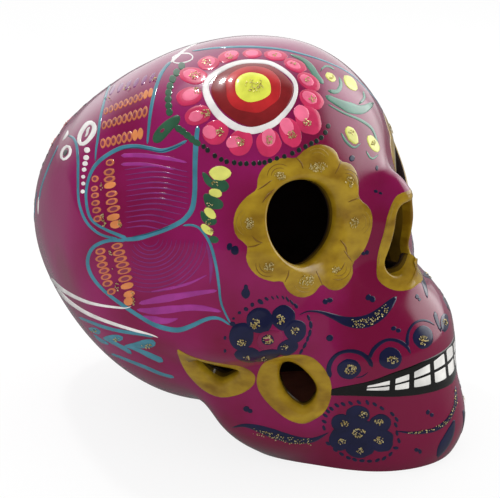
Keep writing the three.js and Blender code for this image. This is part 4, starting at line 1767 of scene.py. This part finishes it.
def make_glitter():
    """Six-sided flakes on the skin, each a little tilted."""
    spots = settle(np.vstack([points for points, _ in flakes]))
    lifts = np.concatenate([lifts for _, lifts in flakes])
    slope = skin_slope(spots)
    spots = spots + (lifts + chance.uniform(0, flake_rise, len(lifts)))[:, None] * slope
    facing = unit(slope + flake_tilt * chance.normal(size=slope.shape))
    across = unit(np.cross(facing, chance.normal(size=slope.shape)))
    upwards = np.cross(facing, across)
    sizes = flake_half * chance.uniform(flake_size_least, flake_size_most, len(spots))
    angles = np.linspace(0, 2 * math.pi, flake_corners, endpoint=False)
    rings = (np.cos(angles)[None, :, None] * across[:, None]
             + np.sin(angles)[None, :, None] * upwards[:, None]) * sizes[:, None, None]
    rise = facing[:, None] * flake_thick / 2
    points = np.concatenate([spots[:, None] + rings - rise, spots[:, None] + rings + rise], axis=1)
    starts = range(0, 2 * flake_corners * len(spots), 2 * flake_corners)
    flake = tube_faces(2, flake_corners)
    faces = [tuple(start + i for i in face) for start in starts for face in flake]
    piece = mesh_object("glitter", points.reshape(-1, 3), faces)
    piece.data.shade_flat()
    piece.data.materials.append(glitter_material())
    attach(piece, "root")


paint_wings()
paint_violet()
paint_temple()
paint_flower("turned")
paint_brow()
paint_blue()
paint_rosette()
paint_mouth()
paint_back()
make_paint()
make_glitter()


# Floor, lamps and world

key_light = {"turn": 165, "rise": 65, "distance": 520, "size": (44, 38), "power": 0.95,
             "mirrored": True}
window_light = {"turn": 60, "rise": 18, "distance": 620, "size": (600, 440), "power": 2.1,
                "mirrored": False}
floor_half = 3000
light_target = np.array([0.0, 0.0, 55.0])


def make_lamp(name, plan):
    data = bpy.data.lights.new(name, "AREA")
    data.shape = "RECTANGLE"
    data.size, data.size_y = (length * MM for length in plan["size"])
    data.energy = plan["power"]
    lamp = new_object(name, data)
    lamp.visible_glossy = plan["mirrored"]
    stand_at(lamp, view_from(plan["turn"], plan["rise"], 0, plan["distance"], light_target))


floor_corners = np.array([(-1.0, -1.0, 0.0), (1.0, -1.0, 0.0), (1.0, 1.0, 0.0), (-1.0, 1.0, 0.0)])
floor_tone = 0.9
# What rays see of a glow instead of the matte floor: its level, and its share
floor_glows = (("Is Glossy Ray", 0.14, 0.92), ("Is Camera Ray", 1.0, 0.84))


def grey(level):
    return (level, level, level, 1)


def make_floor():
    floor = mesh_object("floor", floor_corners * floor_half, [(0, 1, 2, 3)])
    material, tree = new_material("floor")
    rays = add_node(tree, "ShaderNodeLightPath")
    shader = add_node(tree, "ShaderNodeBsdfDiffuse", {"Color": grey(floor_tone)})["BSDF"]
    for ray, level, share in floor_glows:
        glow = add_node(tree, "ShaderNodeEmission", {"Color": grey(level)})["Emission"]
        part = math_value(tree, "MULTIPLY", rays[ray], share)
        shader = mixed_shader(tree, part, shader, glow)
    add_node(tree, "ShaderNodeOutputMaterial", {"Surface": shader})
    floor.data.materials.append(material)


room_level = 1.0

# What the varnish mirrors: turn, rise, how far off each light is full and is gone, and its level
mirrored_lights = (
    (116, 21, 20, 58, 1.1),
    (57, 17, 16, 30, 2.2),
    (164, 58, 3, 15, 1.5),
)
mirrored_room = 0.03


def mirrored_level(tree):
    """The brightness that the varnish mirrors in each direction."""
    place = add_node(tree, "ShaderNodeTexCoord")["Generated"]
    total = mirrored_room
    for turn, rise, full, gone, level in mirrored_lights:
        way = view_from(turn, rise, 0, 1, (0, 0, 0))["back"]
        inputs = {
            "Value": along_way(tree, place, way),
            "From Min": math.cos(math.radians(gone)),
            "From Max": math.cos(math.radians(full)),
            "To Max": level,
        }
        span = add_node(tree, "ShaderNodeMapRange", inputs, interpolation_type="SMOOTHSTEP")
        total = math_value(tree, "ADD", total, span["Result"])
    return total


def make_world():
    """Even light from the room, soft lights in reflections, and white to the camera."""
    world = bpy.data.worlds.new("world")
    bpy.context.scene.world = world
    tree = empty_tree(world)
    rays = add_node(tree, "ShaderNodeLightPath")
    room = add_node(tree, "ShaderNodeBackground", {"Color": grey(room_level)})
    shader = room["Background"]
    for ray, strength in (("Is Glossy Ray", mirrored_level(tree)), ("Is Camera Ray", 1.0)):
        light = add_node(tree, "ShaderNodeBackground", {"Color": grey(1.0), "Strength": strength})
        shader = mixed_shader(tree, rays[ray], shader, light["Background"])
    add_node(tree, "ShaderNodeOutputWorld", {"Surface": shader})


make_floor()
make_lamp("key", key_light)
make_lamp("window", window_light)
make_world()
bpy.context.scene.view_settings.view_transform = "Standard"
